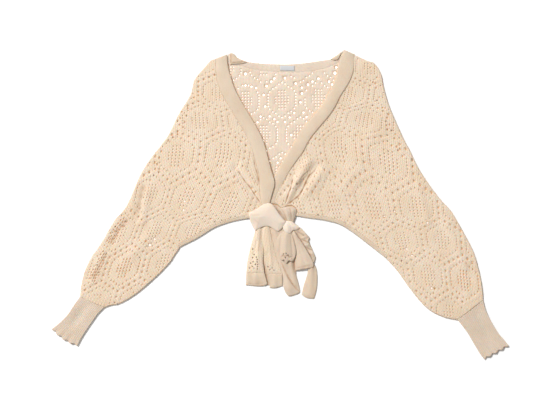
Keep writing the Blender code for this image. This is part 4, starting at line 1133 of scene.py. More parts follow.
# %% Back with both sleeves
back_outline = loop_of(
    top_edge(LEFT), underarm(LEFT)[::-1],
    moved_aside(seam(BACK_EDGE), HEM_WIDTH * HEM_TUCK),
    underarm(RIGHT), top_edge(RIGHT)[::-1],
    np.array([NECK_CORNER_RIGHT]), seam(NECK_SEAM)[::-1], np.array([NECK_CORNER_LEFT]),
)
VEE = np.array(
    [(row.vee_x, row.vee_y) for row in BAND_LEFT[:-2]]
    + [(row.vee_x, row.vee_y) for row in reversed(BAND_RIGHT[:-3])], float)
VEE_EYELETS = [
    (-91, 324.5, 3.6), (-83, 313, 4.2), (-103, 279, 2.4), (-83, 287, 3.0), (-70, 284, 2.8),
    (-57, 280, 3.0), (-41, 276, 2.6), (-33, 285, 3.5), (-23, 294, 3.2), (-13, 303, 3.3),
    (12, 304, 3.5), (24, 296, 3.5), (37, 289, 3.4), (53, 282, 2.9), (66, 288, 3.3),
    (78, 295, 3.1), (92, 301, 3.2), (116, 297, 3.2), (125, 287, 3.2), (131, 314, 4.4),
    (135, 328, 3.4), (-40, 262, 3.0), (-37, 235, 3.0), (51, 268, 3.4), (47, 244, 3.2),
    (-46, 210, 2.8), (-54, 197, 2.8), (-26, 213, 2.8), (-16, 205, 2.8), (-6, 198, 2.8),
    (12, 198, 2.8), (23, 210, 2.8), (32, 221, 2.8), (54, 221, 2.8), (61, 210, 2.8),
    (69, 200, 2.8), (26, 167, 3.0), (1, 113, 2.6), (-6, 102, 2.6),
]


def outside_vee(x, y, wale, course):
    """Leaves the charted border eyelets out inside the V, where they are given by place."""
    big = BACK_CHART[(wale, course)] > BACK_EYELETS.ring
    inside = big and are_inside(np.array([[x, y]]), VEE)[0]
    return (0.0 if inside else 1.0), EYELET_STRETCH


(values, triangles), spots_back = stitch_cells(
    back_outline, Chart(LACE_BACK), (WALE, COURSE), SPAN, [(4, 251), (-200, 100), (250, 100)],
    BACK_CHART, LACE_MARGIN, vary=outside_vee,
    through=[*[(x, y, radius + 1.6) for x, y, radius in THROUGH_BOTH], *VEE_EYELETS],
)
KNOT_SHADOW, KNOT_SHADOW_REACH = (2, -16), 52
# Painted warm shade and glow on the back under the fronts and bands, starting just inside the V and
# halved at the knot
COVER_FROM, COVER_FADE = 2.5, 7  # the warm tone fades in over 7 mm at the V's edge
at_knot = np.hypot(values[:, 0] - KNOT_SHADOW[0], values[:, 1] - KNOT_SHADOW[1])
at_knot = np.exp(-((at_knot / KNOT_SHADOW_REACH) ** 6))
covered = np.clip((COVER_FROM - depth_inside(values[:, :2], VEE)) / COVER_FADE, 0, 1)
covered = covered * (1 - 0.5 * at_knot)
back = walled("lace_back", values, triangles, np.zeros(len(values)), single_yarn,
              covered=covered, shade=0.15 * at_knot)
print(back.name, len(spots_back), "eyelets,", triangle_count(back), "triangles")

# %% [markdown]
# Bands, hems, the neck band and the label are ribbons between two lines. A ribbon
# is drawn as many cross-sections with rounded edges, joined into one closed skin,
# because knitted edges roll and never end in a sharp corner.

# %% Ribbons
EDGE_SQUARENESS = 7  # a higher power keeps a ribbon flat for longer before its edge rolls


def resampled(line, count):
    """A line as a number of points evenly spaced along it."""
    run = np.concatenate([[0], np.cumsum(np.hypot(*np.diff(line[:, :2], axis=0).T))])
    at = np.linspace(0, run[-1], count)
    return np.column_stack([np.interp(at, run, column) for column in line.T]), run[-1]


def ribbon(name, first, second, lift, material, across, arch, pitch=2.5, wall=WALL, relief=None):
    """A closed ribbon between two lines; lift gives the underside along and across."""
    length = max(resampled(first, 2)[1], resampled(second, 2)[1])
    count = max(3, round(length / pitch))
    a, _ = resampled(first, count)
    b, _ = resampled(second, count)
    share = 0.5 - 0.5 * np.cos(np.pi * np.arange(across + 1) / across)
    share = 0.5 * share + 0.5 * np.arange(across + 1) / across
    roll = (1 - np.abs(2 * share - 1) ** EDGE_SQUARENESS) ** 0.5
    xy = a[:, None, :2] * (1 - share)[None, :, None] + b[:, None, :2] * share[None, :, None]
    under = lift(xy.reshape(-1, 2), np.repeat(np.linspace(0, 1, count), across + 1),
                 np.tile(share, count)).reshape(count, across + 1)
    middle = under + wall / 2 + arch * np.sin(np.pi * share)
    half = wall / 2 * roll[None] * np.ones((count, 1))
    top, bottom = middle + half, middle - half
    width = np.hypot(*(b[:, :2] - a[:, :2]).T)
    u = width[:, None] * share[None]
    v = np.linspace(0, length, count)[:, None] * np.ones((1, across + 1))
    if relief is not None:
        top = top + relief(v) * roll[None]

    def round_the_edge(upper, lower):
        """Each cross-section as one ring: over the top and back along the underside."""
        return np.concatenate([upper, lower[:, 1:across][:, ::-1]], axis=1)

    points = np.column_stack([
        round_the_edge(xy, xy).reshape(-1, 2), round_the_edge(top, bottom).ravel()])
    uv = np.column_stack([round_the_edge(u, u).ravel(), round_the_edge(v, v).ravel()])
    return skin(name, points, count, 2 * across, uv, material)


def skin(name, points, count, size, uv, material):
    """Joins cross-sections of equal size into one closed skin with its ends capped."""
    faces = []
    for i in range(count - 1):
        for k in range(size):
            n = (k + 1) % size
            faces.append((i * size + k, (i + 1) * size + k, (i + 1) * size + n, i * size + n))
    faces.append(list(range(size)))
    faces.append([(count - 1) * size + k for k in reversed(range(size))])
    piece = new_piece(name, points, faces, uv, material)
    outwards(piece)
    return piece


def outwards(piece):
    """Turns a closed skin right side out, if its volume came out negative."""
    mesh = piece.data
    mesh.calc_loop_triangles()
    corners = np.array([[mesh.vertices[i].co for i in t.vertices] for t in mesh.loop_triangles])
    volume = np.einsum("ij,ij->i", corners[:, 0], np.cross(corners[:, 1], corners[:, 2])).sum()
    if volume < 0:
        mesh.flip_normals()


# %% [markdown]
# The plain bands lap over the fronts along the V and rise into the knot. The hems
# are knitted on to the panels' lower edges, and the neck band lies flat, ribbed
# across. All of them could be thin strips of the same grid as the lace, but a
# ribbon follows its two edges exactly and keeps its stitches straight.

# %% Bands, hems and neck band
BAND_LAP, BAND_ARCH, BAND_STEP, BAND_WAVE = 2.2, 1.2, 8.0, 0.35
FLAT_ARCH, HEM_SINK = 0.3, 0.2
NECK_LAP, NECK_RIB, NECK_RIB_HEIGHT = 1.5, 3.2, 0.45


def band_lift(rows):
    """A band's two edges, and its height between them, with the slight waves of laid cloth."""
    seam_edge = smooth_line([(r.seam_x, r.seam_y, r.seam_lift) for r in rows], BAND_STEP)
    free_edge = smooth_line([(r.vee_x, r.vee_y, r.vee_lift) for r in rows], BAND_STEP)

    def lift(points, along, across):
        """The underside's height at each place, along and across the band."""
        _, at_seam = distance_to(points, seam_edge)
        _, at_free = distance_to(points, free_edge)
        low = np.interp(at_seam, np.arange(len(seam_edge)), seam_edge[:, 2])
        high = np.interp(at_free, np.arange(len(free_edge)), free_edge[:, 2])
        wave = BAND_WAVE * np.sin(along * 23 + 2 * across) * np.sin(np.pi * across)
        return low + (high - low) * across + wave

    return seam_edge, free_edge, lift


def band(side):
    """The plain band along a side's half of the V, lapped over its front."""
    seam_edge, free_edge, lift = band_lift(side.band)
    return ribbon(f"plain_band_{side.name}", moved_aside(seam_edge, -side.turn * BAND_LAP),
                  free_edge, lift, shaded_plain_yarn, across=18, arch=BAND_ARCH)


def over_front(points, along, across):
    """A hem sinks a little into the front layer that it is knitted on to."""
    return front_under(points) - HEM_SINK


def on_floor(points, along, across):
    """A piece that lies flat on the floor."""
    return np.zeros(len(points))


def hem(name, rows, turn, lift):
    """A plain hem inside a panel's lower edge."""
    edge = seam(rows)
    return ribbon(f"plain_hem_{name}", edge, moved_aside(edge, turn * HEM_WIDTH), lift,
                  shaded_plain_yarn, across=8, arch=FLAT_ARCH, pitch=3.0)


def neck_ribs(along):
    """Ribs across the neck band, drawn 3.2 mm apart, coarser than the real fine rib."""
    return NECK_RIB_HEIGHT * np.cos(math.tau * along / NECK_RIB)


plain_left, plain_right = band(LEFT), band(RIGHT)
hem_left, hem_right = [hem(s.name, s.hem_edge, s.turn, over_front) for s in (LEFT, RIGHT)]
hem_back = hem("back", BACK_EDGE, 1, on_floor)
neck_band = ribbon(
    "ribbed_neck_band", seam(NECK_TOP), moved_aside(seam(NECK_SEAM), -NECK_LAP), on_floor,
    lit_neck_yarn, across=10, arch=FLAT_ARCH, pitch=0.55, relief=neck_ribs,
)
for piece in (plain_left, plain_right, hem_left, hem_right, hem_back, neck_band):
    print(piece.name, triangle_count(piece), "triangles")

# %% [markdown]
# The cuffs are long flattened tubes in a fine rib that end in a small frill. A
# tube is drawn as cross-sections along the cuff, with the ribs as waves round
# each section; the last sections flare and wave for the frill. The tube is
# hollow, with an inner wall.

# %% Cuffs
CUFF_RIBS, POINTS_A_RIB, CUFF_STATIONS, CUFF_STEP = 15, 8, 56, 2.0
RIB_HEIGHT, RIB_WIDTH, RIB_SHADE, INSIDE_SHADE = 0.4, 4.0, 0.1, 0.7
CUFF_ROOM, INSIDE_LOW, INSIDE_SIZE = 1.2, 0.9, (0.93, 0.93, 0.55)
FRILL_FROM, FRILL_WAVES, FRILL_NICK, FRILL_RISE = 0.8, 4, 1.7, 1.3
DENT_DEPTH, DENT_MIDDLE, DENT_WIDTH = 2.3, 0.40, 0.19
AROUND = np.arange(CUFF_RIBS * POINTS_A_RIB + 1) / (CUFF_RIBS * POINTS_A_RIB)
SOLE = AROUND[::-1][1:-1]


def cuff_section(start, end, t, along, bulge):
    """The ring of one cross-section: over the ribs from start to end, and back below."""
    s = AROUND
    frill = np.clip((t - FRILL_FROM) / (1 - FRILL_FROM), 0, 1) ** 1.2
    calm = 1 - 0.7 * frill
    bow = np.clip(np.sin(np.pi * s), 0, None) ** 0.35
    ruffle = np.sin(math.tau * FRILL_WAVES * s + 0.6)
    nick = np.sin(math.tau * FRILL_WAVES * s + 1.0)
    nick = frill * (FRILL_NICK * nick + bulge * np.sin(np.pi * s))
    roof = WALL + CUFF_ROOM * (0.4 + 0.6 * bow) + frill * FRILL_RISE * bow * (0.5 + 0.5 * ruffle)
    dent = DENT_DEPTH * np.exp(-(((s - DENT_MIDDLE) / DENT_WIDTH) ** 2))
    dent = dent * calm * np.sin(np.pi * min(1, t * 1.2))
    rib = RIB_HEIGHT * (0.5 - 0.5 * np.cos(math.tau * CUFF_RIBS * s)) * calm * (0.35 + 0.65 * s**2)
    outer = start + (end - start) * s[:, None] + along * nick[:, None]
    top = np.column_stack([outer, roof + WALL + (rib - RIB_HEIGHT - dent) * bow])
    under = start + (end - start) * (0.03 + 0.94 * SOLE)[:, None]
    under = under + along * (frill * bulge * np.sin(np.pi * SOLE))[:, None]
    low = np.column_stack([under, 0.35 * (0.5 + 0.5 * np.cos(math.tau * CUFF_RIBS * SOLE))])
    return np.vstack([top, low])


def inner_wall(ring):
    """The same ring drawn in, so that the tube is hollow and keeps its wall below."""
    middle = ring.mean(axis=0)
    small = middle + (ring - middle) * INSIDE_SIZE
    small[:, 2] = np.clip(small[:, 2], INSIDE_LOW, None)
    return small


def tube_faces(count, size):
    """Faces of an outer and an inner skin of rings, joined at both open ends."""
    faces, total = [], count * size
    for i in range(count - 1):
        for k in range(size):
            n = (k + 1) % size
            p, q = i * size, (i + 1) * size
            faces.append((p + k, q + k, q + n, p + n))
            faces.append((total + p + k, total + p + n, total + q + n, total + q + k))
    last = (count - 1) * size
    for k in range(size):
        n = (k + 1) % size
        faces.append((k, n, total + n, total + k))
        faces.append((last + k, total + last + k, total + last + n, last + n))
    return faces


def cuff(side, bulge):
    """A side's cuff, and the line along the top of its frill."""
    first = smooth_line([row[:2] for row in side.cuff], CUFF_STEP)
    second = smooth_line([row[2:4] for row in side.cuff], CUFF_STEP)
    a, length = resampled(first, CUFF_STATIONS)
    b, _ = resampled(second, CUFF_STATIONS)
    along = (a[-1] - a[0]) / np.linalg.norm(a[-1] - a[0])
    steps = [station / (CUFF_STATIONS - 1) for station in range(CUFF_STATIONS)]
    rings = [cuff_section(*place, along, bulge) for place in zip(a, b, steps)]
    round_it = np.concatenate([AROUND, SOLE]) * CUFF_RIBS * RIB_WIDTH
    uv = [np.column_stack([round_it, np.full(len(round_it), t * length)]) for t in steps]
    groove = np.concatenate([0.5 + 0.5 * np.cos(math.tau * CUFF_RIBS * AROUND), np.zeros(len(SOLE))])
    total = len(rings) * len(round_it)
    piece = new_piece(
        f"ribbed_cuff_{side.name}", np.vstack(rings + [inner_wall(ring) for ring in rings]),
        tube_faces(len(rings), len(round_it)), np.vstack(uv + uv), rib_yarn,
        shade=np.concatenate([np.tile(RIB_SHADE * groove, len(rings)), np.full(total, INSIDE_SHADE)]),
    )
    outwards(piece)
    width = 2 * float(np.linalg.norm(b[-1] - a[-1]))
    print(piece.name, triangle_count(piece), "triangles, around", round(width, 1), "mm at its end")
    return piece, rings[-1][: len(AROUND)]


# The left frill bows out in its middle; the right one lies straight
cuff_left, frill_left = cuff(LEFT, bulge=5.0)
cuff_right, frill_right = cuff(RIGHT, bulge=0.0)

# %% [markdown]
# The knot and its tails are the ends of the two fronts. Each visible part is a
# piece of cloth with an outline, heights on its rim, a soft rise towards its
# middle, and its own creases and swells, which fan out from under
# the wrap as cloth does where it is pulled tight.

# %% Knot and tails: outlines
Rim = namedtuple("Rim", "x y lift corner", defaults=(False,))
KNOT_WRAP = [
    Rim(-75, -20, 8.2), Rim(-58, -11, 9.0), Rim(-40, 1, 9.6),
    Rim(-24, 3, 10.4), Rim(-14, -5, 10.4), Rim(-1, -24, 9.6),
    Rim(14, -42, 8.6, True), Rim(4, -57, 6.2), Rim(-5, -64, 5.3),
    Rim(-14, -60, 5.2), Rim(-28, -52, 5.2), Rim(-44, -54, 5.0),
    Rim(-60, -63, 4.0, True), Rim(-68, -48, 4.2), Rim(-73, -34, 7.0),
]
KNOT_LOOP = [
    Rim(-15, -1, 4.4, True), Rim(-6, -4, 4.8), Rim(4, -9, 5.2),
    Rim(18, -6, 5.2), Rim(30, -7, 5.2), Rim(38, -14, 4.6),
    Rim(35.5, -27, 3.0), Rim(32, -37, 2.6), Rim(31, -45, 2.4, True),
    Rim(19, -46, 2.8), Rim(8, -46, 2.6, True), Rim(-6, -27, 2.6),
]
KNOT_NUB = [
    Rim(10, -42, 6.6), Rim(24, -39, 6.4), Rim(36, -46, 5.6),
    Rim(46, -55, 4.2), Rim(41, -61, 4.6), Rim(31, -62, 5.8),
    Rim(24, -69, 6.6), Rim(13, -67, 6.8), Rim(6, -56, 7.0),
]
TAIL_LACE = [
    Rim(-57, -50, 1.0, True), Rim(-60, -63, 0.8), Rim(-66, -86, 0.3),
    Rim(-72, -110, 0.0), Rim(-78, -136, 0.0), Rim(-81, -164, 0.0, True),
    Rim(-38, -164, 4.4, True), Rim(-42, -132, 4.8), Rim(-41, -110, 4.0),
    Rim(-43.5, -82, 1.6), Rim(-44, -48, 1.0, True),
]
TAIL_LACE_HEM = [
    Rim(-81, -164, 0.0, True), Rim(-82, -193, 0.0, True), Rim(-58, -195, 0.0),
    Rim(-42, -195, 1.0), Rim(-31, -191, 3.0, True), Rim(-38, -164, 4.4, True),
]
TAIL_MIDDLE = [
    Rim(-45, -48, 1.0, True), Rim(-45, -84, 0.6), Rim(-48, -104, 0.0),
    Rim(-56, -134, 0.0), Rim(-58, -166, 0.0, True), Rim(5, -166, 0.0, True),
    Rim(-9, -127, 0.6), Rim(-17, -94, 1.0), Rim(-21, -74, 1.0),
    Rim(-26, -48, 1.0, True),
]
TAIL_MIDDLE_HEM = [
    Rim(-58, -166, 0.0, True), Rim(-48, -191, 0.0, True), Rim(-27, -193, 0.0),
    Rim(-26, -199, 0.0, True), Rim(-12, -200, 0.0),
    Rim(5, -195, 0.0, True), Rim(5, -166, 0.0, True),
]
TAIL_STRIP = [
    Rim(-26, -48, 1.0, True), Rim(-21, -74, 1.0), Rim(-17, -94, 1.0),
    Rim(-9, -127, 0.6), Rim(5, -166, 0.0), Rim(8, -198, 0.0),
    Rim(17, -217, 0.0), Rim(27, -219, 0.0), Rim(45, -212, 0.0),
    Rim(47, -205, 0.0), Rim(44, -190, 0.0), Rim(38, -167, 0.0),
    Rim(39, -150, 0.0), Rim(38, -128, 0.0), Rim(30, -98, 0.4),
    Rim(17, -72, 1.2), Rim(12, -58, 1.2), Rim(2, -48, 1.0, True),
]
TAIL_LOBE = [
    Rim(14, -61, 4.6), Rim(-2, -72, 5.6), Rim(-10, -92, 5.6),
    Rim(-7, -116, 5.4), Rim(3, -134, 5.4), Rim(9, -132, 8.4),
    Rim(14, -141, 6.4), Rim(21, -134, 8.6), Rim(30, -136, 6.4),
    Rim(38, -115, 6.2), Rim(33, -88, 6.0), Rim(25, -66, 5.0),
]
TAIL_FAN = [
    Rim(23, -60, 3.7, True), Rim(32, -59, 3.5, True), Rim(38, -70, 3.8),
    Rim(59, -103, 5.0), Rim(78, -137, 5.6), Rim(79, -150, 5.6, True),
    Rim(66, -153, 5.4), Rim(50, -156, 4.0), Rim(37, -158, 3.0, True),
    Rim(35, -142, 2.4), Rim(36, -128, 2.2), Rim(34, -109, 2.2),
    Rim(29, -87, 2.4),
]
TAIL_RUFFLE = [
    Rim(34, -47, 3.4, True), Rim(50, -57, 0.6), Rim(60, -68, 3.6),
    Rim(71, -81, 0.0), Rim(67, -87, 3.8), Rim(75, -103, 0.0),
    Rim(79, -115, 3.6), Rim(85, -127, 0.0), Rim(82, -136, 1.6, True),
    Rim(78, -137, 1.8), Rim(59, -103, 2.2), Rim(38, -70, 2.6),
    Rim(32, -59, 3.5, True),
]
TAIL_END = [
    Rim(70, -143, 3.0), Rim(79, -141, 2.8), Rim(87, -155, 0.2),
    Rim(89, -181, 0.0), Rim(87, -204, 0.0), Rim(81, -226, 0.0, True),
    Rim(64, -224, 0.0), Rim(51, -216, 0.0, True), Rim(57, -192, 0.0),
    Rim(64, -171, 0.4),
]
BAND_TURN_LEFT = [
    Rim(-120, 362, 2.5, True), Rim(-111, 360, 2.5), Rim(-101, 351, 2.5),
    Rim(-91, 347, 2.5), Rim(-78, 342, 2.5, True), Rim(-92, 338, 2.6),
    Rim(-120, 336, 2.6, True),
]
BAND_TURN_RIGHT = [
    Rim(120, 348, 2.5, True), Rim(129, 354, 2.5), Rim(138, 359, 2.5),
    Rim(146, 366, 2.5, True), Rim(144, 358, 2.6), Rim(138, 347, 2.6, True),
    Rim(130, 346, 2.5),
]

# %% [markdown]
# Each piece of the knot is a small sheet of stitches like the panels, with its
# wales along a straight line. It rises from its rim into a soft dome, which a few
# swells and creases then crumple. A swell is a line with a width at each end and
# a height, and a crease is a path with a width and a depth.

# %% Knot and tails: cloth
CELL_REACH, RIM_STEP = 130, 1.6
RIM_SOFTNESS, RIM_PULL, SWELL_INSET = 0.05, 1.5, 3
pieces = {}


def rim_outline(rim):
    """A closed outline through the rim's rows, smooth but for its corners."""
    rows = np.array([(row.x, row.y, row.lift) for row in rim], float)
    corners = [k for k, row in enumerate(rim) if row.corner]
    if not corners:
        wrapped = np.vstack([rows[-2:], rows, rows[:2]])
        line = smooth_line(wrapped, RIM_STEP)
        start = np.argmin(np.hypot(*(line[: len(line) // 2, :2] - rows[0, :2]).T))
        ends = np.hypot(*(line[:, :2] - rows[0, :2]).T)
        ends[: len(line) // 2] = np.inf
        return line[start : np.argmin(ends)]
    parts = []
    for here, ahead in zip(corners, corners[1:] + [corners[0] + len(rim)]):
        picked = rows[[k % len(rim) for k in range(here, ahead + 1)]]
        parts.append(smooth_line(picked, RIM_STEP)[:-1])
    return np.vstack(parts)


def tail_piece(node, rim, rise, reach, toward, material, swells=(), creases=(), holes=(),
               cell=2.0, grow=0.0, tone=0.35):
    """A piece of the knot: cloth that rises from its rim into a soft crumpled dome."""
    ring = rim_outline(rim)
    outline = ring[:, :2]
    if grow:
        away = outline - outline.mean(axis=0)
        outline = outline + away / np.linalg.norm(away, axis=1)[:, None] * grow
    origin = outline.mean(axis=0)
    along = (np.array(toward) - origin) / np.linalg.norm(np.array(toward) - origin)
    across = np.array([-along[1], along[0]])

    def straight_chart(flat):
        """Lays the stitches in straight lines from the piece's middle."""
        return origin + flat[:, :1] * across + flat[:, 1:] * along

    pierced = {}
    for x, y, radius in holes:
        offset = np.array([x, y]) - origin
        pierced[(round(offset @ across / cell), round(offset @ along / cell))] = radius
    cells = int(CELL_REACH / cell)
    (values, triangles), _ = stitch_cells(
        outline, straight_chart, (cell, cell), (-cells, cells, -cells, cells), [tuple(origin)],
        pierced, 1.0)
    xy = values[:, :2]
    apart = ((xy[:, None] - ring[None, :, :2]) ** 2).sum(axis=2)
    weights = 1.0 / (apart + RIM_SOFTNESS) ** RIM_PULL
    under = (weights @ ring[:, 2]) / weights.sum(axis=1)
    edge = np.clip(depth_inside(xy, outline), 0, None)
    under = np.maximum(0.0, under) + rise * (1 - np.exp(-edge / reach))
    for x0, y0, x1, y1, w0, w1, height in swells:
        away, t = distance_to(xy, np.array([(x0, y0), (x1, y1)], float))
        width = w0 + (w1 - w0) * t
        under += height * np.exp(-((away / width) ** 2)) * (1 - np.exp(-edge / SWELL_INSET))
    drop, share = crease_depth(xy, creases)
    under = np.maximum(0.0, under - drop)
    # The creases take painted shade, as much as the piece's tone says
    pieces[node] = walled(f"{node}_cloth", values, triangles, under, material, shade=tone * share)


# %% [markdown]
# The tails come first, from the left one to the right one, then the loop, the nub
# and the wrap of the knot, and last the small turned-over ends of the two bands at
# the neck. Each says its rim, how high and how fast it rises, and where its wales
# run to.

# %% Knot and tails: pieces
def fan(x, y, spread, length, start, end, count, w0, w1, height):
    """Uneven swells that fan out from a place, as in cloth that is pulled tight."""
    out = []
    for k in range(count):
        angle = math.radians(start + (end - start) * k / (count - 1))
        dx, dy = math.cos(angle), math.sin(angle)
        uneven = 1 + 0.25 * math.sin(2.4 * k + 1)
        near_end = (x + dx * spread, y + dy * spread)
        far_end = (x + dx * length * uneven, y + dy * length * uneven)
        out.append((*near_end, *far_end, w0, w1, height * uneven))
    return out


tail_piece(
    "tail_lace", TAIL_LACE, 3.2, 9, (-62, -300), lace_yarn, cell=1.9, grow=1.0,
    swells=fan(-44, -30, 24, 70, 240, 264, 6, 1.4, 3.0, 1.2) + [(-52, -90, -58, -160, 3, 7, 1.4)],
    creases=[Crease([(-47, -64), (-50, -92), (-54, -118)], 1.5, 1.2)],
    holes=[(-66, -107, 1.4), (-62, -120, 1.2), (-67, -127, 1.3), (-71, -140, 1.3), (-64, -137, 1.2),
           (-68, -148, 1.3), (-73, -152, 1.3), (-64, -152, 1.2), (-60, -142, 1.3), (-56, -125, 1.2),
           (-55.5, -131, 1.2), (-55, -137, 1.2), (-54.5, -143, 1.2), (-54, -149, 1.2),
           (-53.6, -155, 1.2)],
)
tail_piece(
    "tail_lace_hem", TAIL_LACE_HEM, 1.0, 8, (-62, -400), shaded_plain_yarn, grow=0.6,
    swells=[(-60, -166, -58, -192, 5, 8, 1.6), (-76, -166, -78, -192, 3, 5, 0.8)],
    creases=[Crease([(-80, -189), (-58, -190), (-38, -188)], 1.2, 0.7)], tone=0.2,
)
tail_piece(
    "tail_middle", TAIL_MIDDLE, 2.6, 9, (-12, -300), lace_yarn, cell=1.9, grow=1.0,
    swells=fan(-34, -30, 22, 92, 262, 286, 6, 1.4, 3.6, 1.3),
    creases=[Crease([(-46, -100), (-47, -120), (-43, -140), (-38, -160), (-36, -172)], 5.0, 2.4),
             Crease([(-24, -56), (-19, -76), (-14, -98), (-5, -130)], 1.6, 0.8)],
    holes=[(-28, -150, 1.1), (-24, -156, 1.1), (-19, -152, 1.1), (-14, -158, 1.1)], tone=0.75,
)
tail_piece(
    "tail_middle_hem", TAIL_MIDDLE_HEM, 1.6, 8, (-12, -400), shaded_plain_yarn, grow=0.6,
    swells=[(-14, -168, -12, -196, 5, 7, 1.4)],
    creases=[Crease([(-40, -160), (-36, -176), (-34, -190), (-33, -198)], 6.0, 2.4)], tone=0.8,
)
tail_piece(
    "tail_strip", TAIL_STRIP, 2.6, 8, (30, -300), shaded_tail_yarn, grow=0.4,
    swells=[(-14, -60, 22, -200, 4, 7, 1.8), (8, -60, 36, -190, 3, 5, 1.2)],
    creases=[Crease([(2, -136), (12, -160), (22, -180), (42, -208)], 1.5, 1.4),
             Crease([(34, -100), (36, -125), (33, -145), (37, -165)], 4.0, 1.6)], tone=0.6,
)
tail_piece(
    "tail_lobe", TAIL_LOBE, 4.2, 12, (14, -300), shaded_tail_yarn, cell=1.6,
    swells=[(14, -70, 10, -124, 5, 8, 1.4), (26, -72, 30, -125, 2.5, 4, -1.5),
            (2, -76, -1, -118, 2.5, 4, -1.2)],
    creases=[Crease([(2, -126), (7, -121), (12, -126), (17, -121), (22, -126), (29, -124)], 1.4, 2.0)],
    holes=[(8, -118, 1.2), (14, -116, 1.2), (19, -121, 1.2), (12, -128, 1.2)], tone=0.6,
)
tail_piece(
    "tail_fan", TAIL_FAN, 1.6, 8, (56, -300), shaded_tail_yarn, grow=0.4,
    swells=[(34, -68, 52, -150, 3, 7, 1.8), (36, -70, 68, -146, 2.5, 5, 1.2)],
    creases=[Crease([(38, -151), (52, -149), (66, -146), (76, -143)], 1.4, 0.8)], tone=0.3,
)
tail_piece(
    "tail_ruffle", TAIL_RUFFLE, 1.2, 6, (90, -200), shaded_tail_yarn, cell=1.6, grow=0.4,
    swells=[(40, -58, 58, -62, 2, 4, 1.4), (50, -80, 68, -76, 2, 4, 1.8), (60, -98, 74, -96, 2, 4, 1.6),
            (68, -116, 80, -118, 2, 4, 1.6)],
    creases=[Crease([(40, -64), (60, -76)], 1.5, 1.4), Crease([(52, -84), (70, -92)], 1.5, 1.4),
             Crease([(60, -102), (78, -110)], 1.5, 1.4),
             Crease([(34, -62), (44, -78), (60, -104), (78, -134)], 2.2, 1.6)], tone=0.6,
)
tail_piece(
    "tail_end", TAIL_END, 1.6, 8, (68, -400), shaded_plain_yarn,
    swells=[(76, -150, 70, -215, 5, 9, 1.4)],
)
tail_piece(
    "knot_loop", KNOT_LOOP, 5.6, 9, (20, -60), shaded_tail_yarn, cell=1.6, grow=1.8,
    swells=[(-8, -8, 14, -44, 2, 3, 1.2), (14, -10, 24, -44, 2, 3, 1.0), (32, -12, 30, -40, 2, 3, 0.8)],
    creases=[Crease([(4, -10), (12, -28), (18, -44)], 1.5, 1.2),
             Crease([(22, -6), (27, -28), (27, -44)], 1.4, 1.0),
             Crease([(-14, -2), (1, -22), (16, -43)], 4.0, 2.8)], tone=0.4,
)
tail_piece(
    "knot_nub", KNOT_NUB, 4.4, 7, (20, -90), lit_tie_yarn, cell=1.4,
    swells=[(16, -44, 18, -66, 2, 3, 0.8), (28, -44, 42, -58, 1.6, 2.4, 0.8),
            (22, -42, 28, -62, 1.4, 2, -0.9)],
)
tail_piece(
    "knot_wrap", KNOT_WRAP, 5.6, 11, (20, -70), lit_tie_yarn, cell=1.7,
    swells=[(-70, -26, -30, -30, 6, 10, 0.4), (-16, -8, 10, -44, 3, 5, 0.5)],
    creases=[Crease([(-74, -24), (-60, -26), (-46, -24)], 1.8, 0.6),
             Crease([(-68, -34), (-56, -40), (-48, -50)], 2.0, 0.5)],
    tone=0.12,
)
tail_piece(
    "band_turn_left", BAND_TURN_LEFT, 1.5, 6, (-60, 340), shaded_plain_yarn, cell=1.5,
    creases=[Crease([(-119, 362), (-120, 350), (-119, 336)], 3.0, 0.8),
             Crease([(-118, 340), (-100, 341), (-84, 344)], 1.2, 0.5)], tone=0.6,
)
tail_piece(
    "band_turn_right", BAND_TURN_RIGHT, 1.2, 5, (160, 380), shaded_plain_yarn, cell=1.7,
)
for node, piece in pieces.items():
    print(node, triangle_count(piece), "triangles")

# %% [markdown]
# Small repeats are made with Geometry Nodes: the rolled folds along the sleeves,
# a line of overcast stitches along each seam, a turned loop of yarn round each
# large eyelet, and tiny picots on the frilled edges. A loop of copies would do
# too, but a tree keeps one sample and its sizes, and lays it along any path. Each
# takes a path or a few points and named sizes, and ends in plain mesh.

# %% Trees for what repeats
def new_tree(name, **inputs):
    """An empty tree with named inputs; it returns the tree and its input sockets."""
    tree = bpy.data.node_groups.new(name, "GeometryNodeTree")
    tree.interface.new_socket("Geometry", in_out="INPUT", socket_type="NodeSocketGeometry")
    for label, value in inputs.items():
        made = tree.interface.new_socket(label, in_out="INPUT", socket_type="NodeSocketFloat")
        made.default_value = value
    tree.interface.new_socket("Material", in_out="INPUT", socket_type="NodeSocketMaterial")
    tree.interface.new_socket("Geometry", in_out="OUTPUT", socket_type="NodeSocketGeometry")
    return tree, add(tree, "NodeGroupInput").outputs


def end_tree(tree, geometry, given):
    """Every tree ends in real, smooth mesh with its material."""
    real = add(tree, "GeometryNodeRealizeInstances", geometry)
    smooth = add(tree, "GeometryNodeSetShadeSmooth", real)
    painted = add(tree, "GeometryNodeSetMaterial", smooth, named={"Material": given["Material"]})
    add(tree, "NodeGroupOutput", painted)
    return tree


def stitch_tree():
    """Oval stitches evenly spaced along a path."""
    tree, given = new_tree("Overcast_stitches", Spacing=3.6 * MM, Length=1.5 * MM, Thickness=0.6 * MM)
    curve = add(tree, "GeometryNodeMeshToCurve", given["Geometry"])
    spots = add(tree, "GeometryNodeCurveToPoints", curve, mode="LENGTH",
                named={"Length": given["Spacing"]})
    bead = add(tree, "GeometryNodeMeshUVSphere", 6, 4, 1.0)
    size = add(tree, "ShaderNodeCombineXYZ", given["Thickness"], given["Thickness"], given["Length"])
    made = add(tree, "GeometryNodeInstanceOnPoints", spots.outputs["Points"], named={
        "Instance": bead, "Rotation": spots.outputs["Rotation"], "Scale": size})
    return end_tree(tree, made, given)


